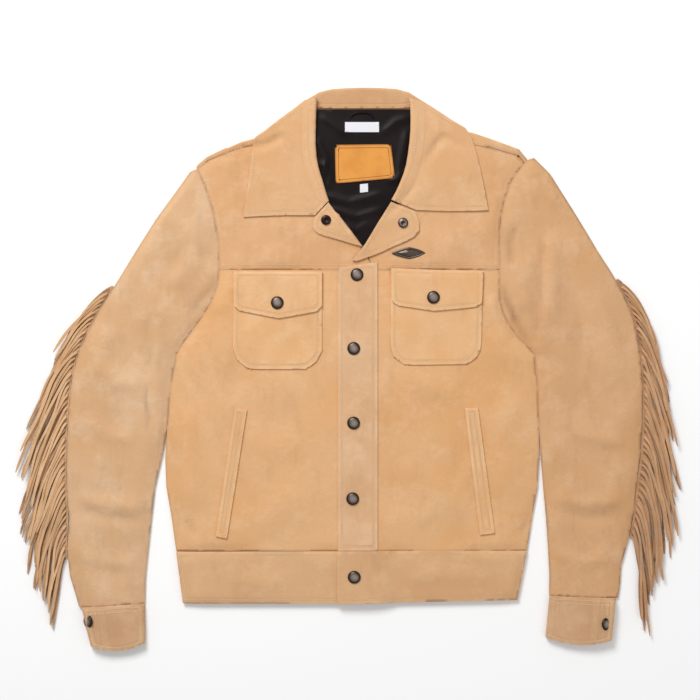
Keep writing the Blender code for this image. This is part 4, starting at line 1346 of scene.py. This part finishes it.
        # The strands' tones, random and painted shade, and the strip painted in shade under them.
        store(mesh, "fold", self.tones + [self.strip_shade] * (count - len(self.tones)))
        store(mesh, "edge_mm", [self.inside] * count)
        return wardrobe.present(mesh, self.finish, name)


@dataclass(frozen=True)
class Lamp:
    """A square soft box that faces the jacket."""
    name: str
    place: Triple
    size: float
    watts: float

    def build(self) -> None:
        """Hang the lamp."""
        data = bpy.data.lights.new(self.name, "AREA")
        data.shape = "SQUARE"
        data.size = self.size
        data.energy = self.watts
        lamp = bpy.data.objects.new(self.name, data)
        lamp.location = self.place
        lamp.rotation_euler = (-Vector(self.place)).to_track_quat("-Z", "Y").to_euler()
        bpy.context.scene.collection.objects.link(lamp)


@dataclass
class Studio:
    """White ground, soft light and the camera straight above."""
    look_at: Place = (0.64, 24.96)
    frame_width: float = 896.0
    lens: float = 85.0
    sensor: float = 36.0
    level: float = 7.0
    sky: float = 0.45
    lamps: tuple[Lamp, ...] = (Lamp("key_light", (-0.9, 1.85, 1.9), 1.1, 63.0),
                               Lamp("fill_light", (1.4, -0.8, 1.9), 2.0, 9.0))
    ground_reach: float = 6.0
    ground_level: float = -0.0003

    def build(self) -> None:
        """Set up the ground, the lights and the camera."""
        scene = bpy.context.scene
        scene.view_settings.view_transform = "Standard"
        data = bpy.data.cameras.new("camera")
        data.lens, data.sensor_width = self.lens, self.sensor
        camera = bpy.data.objects.new("camera", data)
        away = self.frame_width * self.lens / self.sensor
        camera.location = (self.look_at[0] * MM, self.look_at[1] * MM, (away + self.level) * MM)
        scene.collection.objects.link(camera)
        scene.camera = camera
        for lamp in self.lamps:
            lamp.build()
        world = bpy.data.worlds.new("white_room")
        world.use_nodes = True
        world.node_tree.nodes["Background"].inputs["Color"].default_value = (1.0, 1.0, 1.0, 1.0)
        world.node_tree.nodes["Background"].inputs["Strength"].default_value = self.sky
        scene.world = world
        mesh = bpy.data.meshes.new("ground")
        mesh.from_pydata([(x * self.ground_reach, y * self.ground_reach, self.ground_level)
                          for x, y in ((-1, -1), (1, -1), (1, 1), (-1, 1))], [], [(0, 1, 2, 3)])
        ground = bpy.data.objects.new("ground", mesh)
        ground.data.materials.append(Floor().make())
        scene.collection.objects.link(ground)


CREASES = (
    # Wearer's right sleeve
    Crease(((-203, 196), (-192, 160), (-205, 128), (-236, 96)), 3.2, 13.0, 0.25),
    Crease(((-222, 190), (-214, 150), (-232, 116)), -2.0, 10.0, 0.25),
    Crease(((-242, 112), (-244, 60), (-246, 10), (-248, -60), (-250, -118)), 2.8, 10.0, 0.0),
    Crease(((-255, 76), (-260, 50), (-256, 18), (-261, -8)), -1.8, 4.6, 0.6),
    Crease(((-258, -14), (-262, -40), (-257, -62), (-262, -86)), -1.4, 4.0, 0.75),
    Crease(((-190, 208), (-194, 176), (-188, 134)), -1.0, 7.0, 0.5),
    Crease(((-320, -124), (-314, -126), (-306, -124)), -0.8, 2.5, 0.8),
    Crease(((-260, -176), (-252, -186), (-250, -196)), -2.0, 5.0, 0.7),
    Crease(((-268, -290), (-262, -282), (-258, -268)), -1.6, 5.0, 0.7),
    Crease(((-212, -190), (-204, -200), (-196, -214)), -2.0, 5.0, 0.6),
    Crease(((232, -180), (226, -196), (216, -212)), -2.0, 5.0, 0.6),
    Crease(((-330, 10), (-300, -14), (-262, -26)), 2.0, 10.0, 0.1),
    Crease(((-345, -60), (-310, -84), (-272, -92)), 2.2, 9.0, 0.1),
    Crease(((-352, -160), (-318, -172), (-262, -176)), 3.0, 9.0, 0.15),
    Crease(((-346, -180), (-312, -190), (-264, -196)), -2.0, 7.0, 0.3),
    Crease(((-350, -232), (-318, -246), (-270, -250)), 2.4, 8.0, 0.1),
    Crease(((-300, 60), (-322, 20), (-336, -30)), 1.8, 14.0, 0.0),
    # Wearer's left sleeve
    Crease(((249, 176), (245, 139), (243, 96), (239, 54), (236, 24)), -3.0, 6.0, 0.5),
    Crease(((262, 184), (260, 140), (257, 96), (253, 50)), 3.8, 14.0, 0.1),
    Crease(((228, 150), (222, 110), (226, 70)), 3.0, 11.0, 0.0),
    Crease(((300, 150), (322, 96), (330, 40), (326, -30)), 2.2, 16.0, 0.0),
    Crease(((280, 120), (290, 60), (288, -10), (292, -70)), -1.6, 12.0, 0.35),
    Crease(((262, -60), (300, -84), (352, -96)), 2.4, 9.0, 0.1),
    Crease(((258, -160), (300, -172), (352, -166)), 2.8, 9.0, 0.15),
    Crease(((262, -178), (304, -190), (346, -186)), -1.8, 7.0, 0.3),
    Crease(((262, -236), (300, -246), (340, -240)), 2.2, 8.0, 0.1),
    # Armpits
    Crease(((-167, 124), (-176, 104), (-191, 88), (-204, 66)), -2.6, 5.0, 0.8),
    Crease(((-150, 112), (-160, 92), (-172, 70)), 2.0, 8.0, 0.1),
    Crease(((193, 118), (200, 92), (214, 60), (232, 26)), -3.0, 5.5, 0.9),
    Crease(((182, 96), (190, 66), (206, 34)), 2.4, 8.0, 0.1),
    Crease(((214, 190), (206, 160), (207, 128)), -2.0, 6.0, 0.7),
    Crease(((-238, 190), (-232, 160), (-228, 128)), -1.6, 6.0, 0.4),
    # Body
    Crease(((-150, -60), (-120, -92), (-60, -104)), 1.4, 16.0, 0.0),
    Crease(((-206, -40), (-196, -110), (-204, -190)), 2.0, 13.0, 0.25),
    Crease(((208, -30), (198, -100), (206, -180)), 2.0, 13.0, 0.25),
    Crease(((60, 2), (96, -22), (150, -34)), 1.6, 14.0, 0.15),
    Crease(((178, 100), (160, 50), (176, -4)), 1.8, 14.0, 0.1),
    Crease(((-158, 96), (-164, 40), (-150, -10)), 1.6, 14.0, 0.1),
    Crease(((60, -120), (110, -150), (150, -196)), 1.4, 18.0, 0.0),
    Crease(((-60, -150), (-96, -180), (-120, -214)), 1.4, 18.0, 0.0),
    Crease(((-140, 150), (-110, 180), (-70, 186)), 1.2, 14.0, 0.1),
    Crease(((120, 150), (150, 176), (180, 180)), 1.2, 14.0, 0.1),
    # Waistband
    Crease(((-170, -262), (-120, -274), (-70, -266)), 1.3, 10.0, 0.1),
    Crease(((70, -270), (120, -262), (180, -272)), 1.3, 10.0, 0.1),
    # Collar leaves
    Crease(((-112, 236), (-84, 262), (-60, 300)), 0.8, 20.0, 0.0),
    Crease(((140, 236), (122, 268), (100, 306)), 0.8, 20.0, 0.0),
)
NECK_FOLDS = (
    Crease(((-40, 226), (0, 214), (46, 226)), 2.2, 4.5),
    Crease(((-30, 208), (10, 196), (44, 206)), 1.8, 4.0),
    Crease(((-44, 300), (-30, 270), (-36, 240)), 2.0, 4.0),
    Crease(((-38, 268), (-24, 250), (-28, 228)), 1.6, 3.5),
    Crease(((74, 310), (66, 270), (60, 236)), 2.0, 4.0),
    Crease(((78, 262), (62, 244), (46, 240)), 1.5, 3.5),
    Crease(((-40, 326), (-10, 306), (2, 300)), 1.6, 4.5),
    Crease(((40, 300), (60, 318), (78, 322)), 1.6, 4.5),
    Crease(((-10, 186), (10, 178), (26, 190)), 1.5, 4.0),
)


def cloth_pieces() -> list[Panel]:
    """List every cloth piece.

    Returns:
        The pieces, from the lowest up.
    """
    close = 0.34
    edge = StitchRow(5.0)
    shoulder = Spot(-250.0, 190.0, 260.0, 300.0, 0.8)
    placket_end = Spot(26.0, 110.0, 36.0, 170.0, 0.75)
    hem = (Spot(-240.0, -245.0, 240.0, -215.0, 0.3),)
    neck = (Spot(-60.0, 318.0, 100.0, 350.0, 1.4),)
    in_neck = ("lining_back",)
    panels = [
        Panel("back", YOKE, cell=8.0, wrapped=True, grow=close, spots=(shoulder,), rests_on=("collar_back",),
              stitches=(StitchRow(4.0, lambda x, y: y > 262.0),)),
        Panel("lining_back", Satin(), Layer.NECK, cell=3.0, grow=0.5, spots=neck),
        Panel("neck_label", Leather(), Layer.NECK, cell=4.0, soften=7, blunt=60.0, rests_on=in_neck,
              thread=DARK_THREAD, stitches=(StitchRow(4.2, length=2.2, pitch=3.0),)),
        Panel("size_tag", Tape(), Layer.NECK, cell=3.0, rests_on=in_neck),
        Panel("neck_tape", Tape(), Layer.NECK, cell=4.0, rests_on=in_neck),
        Panel("waistband_back", BAND, Layer.FLAT, cell=8.0, grow=close),
        Panel("waistband_front_right", BAND, grow=close, spots=hem, rests_on=("waistband_back",),
              stitches=(edge,)),
        Panel("waistband_front_left", BAND, grow=close, spots=hem, rests_on=("waistband_front_right",),
              stitches=(edge,)),
        Panel("placket", TRIM, cell=4.0, rests_on=("front_left", "front_right"), stitches=(edge,)),
        Panel("collar_back", STAND, Layer.FLAT, cell=4.0, grow=0.3, held=Held.FOLDED, cut=(238.0, 112.0),
              stitches=(StitchRow(4.0, lambda x, y: y < 350.0),)),
    ]
    for side in Side:
        body, yoke, pocket, under, sleeve = (name + side.word for name in (
            "front_", "yoke_", "pocket_", "sleeve_under_", "sleeve_top_"))
        tone = SLEEVE_RIGHT if side is Side.RIGHT else SLEEVE_LEFT
        panels += [
            Panel(body, BODY, grow=close),
            Panel(yoke, YOKE, grow=close, sewn_at=127.7, spots=(shoulder, placket_end),
                  stitches=(StitchRow(6.0, lambda x, y: y < 137.0),
                            StitchRow(4.5, lambda x, y: abs(x - 15) > 160))),
            Panel(under, tone, Layer.FLAT, cell=9.0, grow=close),
            Panel(sleeve, tone, grow=close, rests_on=(under,)),
            Panel("cuff_" + side.word, CUFF, cell=3.0, grow=close, held=Held.FOLDED, cut=(198.0, 58.0),
                  wrapped=True, rests_on=(sleeve,),
                  stitches=(StitchRow(4.0), StitchRow(9.0, lambda x, y: y > -314.0))),
            Panel(pocket, POCKET, cell=4.0, soften=14, rests_on=(body,), stitches=(edge,)),
            Panel("flap_" + side.word, POCKET, cell=3.0, soften=3, rests_on=(pocket,), stitches=(edge,)),
            Panel("welt_" + side.word, POCKET, cell=3.0, rests_on=(body,), stitches=(StitchRow(3.4),)),
            Panel("lapel_" + side.word, COLLAR, cell=3.0, soften=1, rests_on=(body,), stitches=(edge,)),
            Panel("collar_" + side.word, COLLAR, cell=4.0, grow=0.3, held=Held.FOLDED, cut=(150.0, 158.0),
                  rests_on=(yoke,),
                  stitches=(StitchRow(5.5, lambda x, y, s=side.value: s * (x - 17.0) > 66.0 or y < 225.0),)),
        ]
    return panels


RIGHT_SEAM = (
    Root(-301.4, 105.6, 0.17, 95.0),
    Root(-321.9, 72.3, 0.17, 112.0),
    Root(-338.6, 40.3, 0.18, 138.0),
    Root(-350.1, 9.6, 0.22, 148.0),
    Root(-356.5, -18.6, 0.27, 150.0),
    Root(-359.4, -51.8, 0.31, 148.0),
    Root(-361.6, -90.2, 0.35, 142.0),
    Root(-362.2, -128.6, 0.38, 134.0),
    Root(-361.6, -158.1, 0.38, 128.0),
    Root(-359.6, -190.1, 0.34, 118.0),
    Root(-361.8, -228.5, 0.22, 110.0),
    Root(-361.2, -244.0, 0.14, 106.0),
)
LEFT_SEAM = (
    Root(341.1, 114.6, 0.17, 92.0),
    Root(355.2, 86.4, 0.17, 110.0),
    Root(364.2, 59.5, 0.17, 126.0),
    Root(369.9, 33.9, 0.18, 138.0),
    Root(373.1, 1.9, 0.19, 146.0),
    Root(375.2, -28.8, 0.22, 148.0),
    Root(374.8, -71.0, 0.27, 146.0, 26.0),
    Root(372.5, -109.4, 0.32, 142.0, 14.0),
    Root(368.0, -144.0, 0.36, 136.0, 12.0),
    Root(364.2, -182.4, 0.34, 130.0),
    Root(357.4, -218.2, 0.26, 126.0),
)
SEWN_DOWN = ("sleeve_top_right", "sleeve_top_left", "front_right", "front_left", "yoke_right", "yoke_left",
             "waistband_front_right", "waistband_front_left")


def sewn_down(frame: dict) -> np.ndarray:
    """Find where the upper pieces are sewn to their neighbours.

    Args:
        frame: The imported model.

    Returns:
        Places in plan along those seams, in metres, without the front edge and the placket's end.
    """
    places = []
    for node in SEWN_DOWN:
        made = bmesh.new()
        made.from_mesh(frame["nodes"][node].data)
        made.normal_update()
        rim = Panel.rim_places(made)
        made.free()
        x, y = rim.T / MM
        front_edge = (np.abs(x - 31.0) < 4.0) & (y < 140.0)
        placket_end = (x > -20.0) & (x < 60.0) & (y < 180.0)
        places.append(rim[~(front_edge | placket_end)])
    return np.vstack(places)


def main() -> None:
    """Build the jacket over its solids and light it."""
    logging.basicConfig(level=logging.INFO, format="%(message)s")
    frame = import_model()
    Studio().build()
    wardrobe = Wardrobe()
    drape = Drape(CREASES, NECK_FOLDS, PlanTree(sewn_down(frame)))
    on_pieces = {"sleeve_top_right": [Fringe(Side.RIGHT, RIGHT_SEAM, FRINGE_RIGHT, 7).build(wardrobe)],
                 "sleeve_top_left": [Fringe(Side.LEFT, LEFT_SEAM, FRINGE_LEFT, 11).build(wardrobe)]}
    sewing = {thread.name: Sewing(thread) for thread in (TAN_THREAD, DARK_THREAD)}
    panels = cloth_pieces()
    for panel in panels:
        panel.build(frame, drape, wardrobe)
        panel.sew(sewing[panel.thread.name])
    for node, thread in (("front_left", TAN_THREAD), ("neck_label", DARK_THREAD)):
        on_pieces[node] = [sewing[thread.name].build(wardrobe)]
    for panel in panels:
        panel.declare(on_pieces.get(panel.node, []))
    Snaps().build(drape, wardrobe)
    Pin().build(drape, wardrobe)
    HangerLoop().build(wardrobe)
    for piece in wardrobe.pieces:
        log.info("%s in %s", piece.name, piece.active_material.name)


if __name__ == "__main__":
    main()
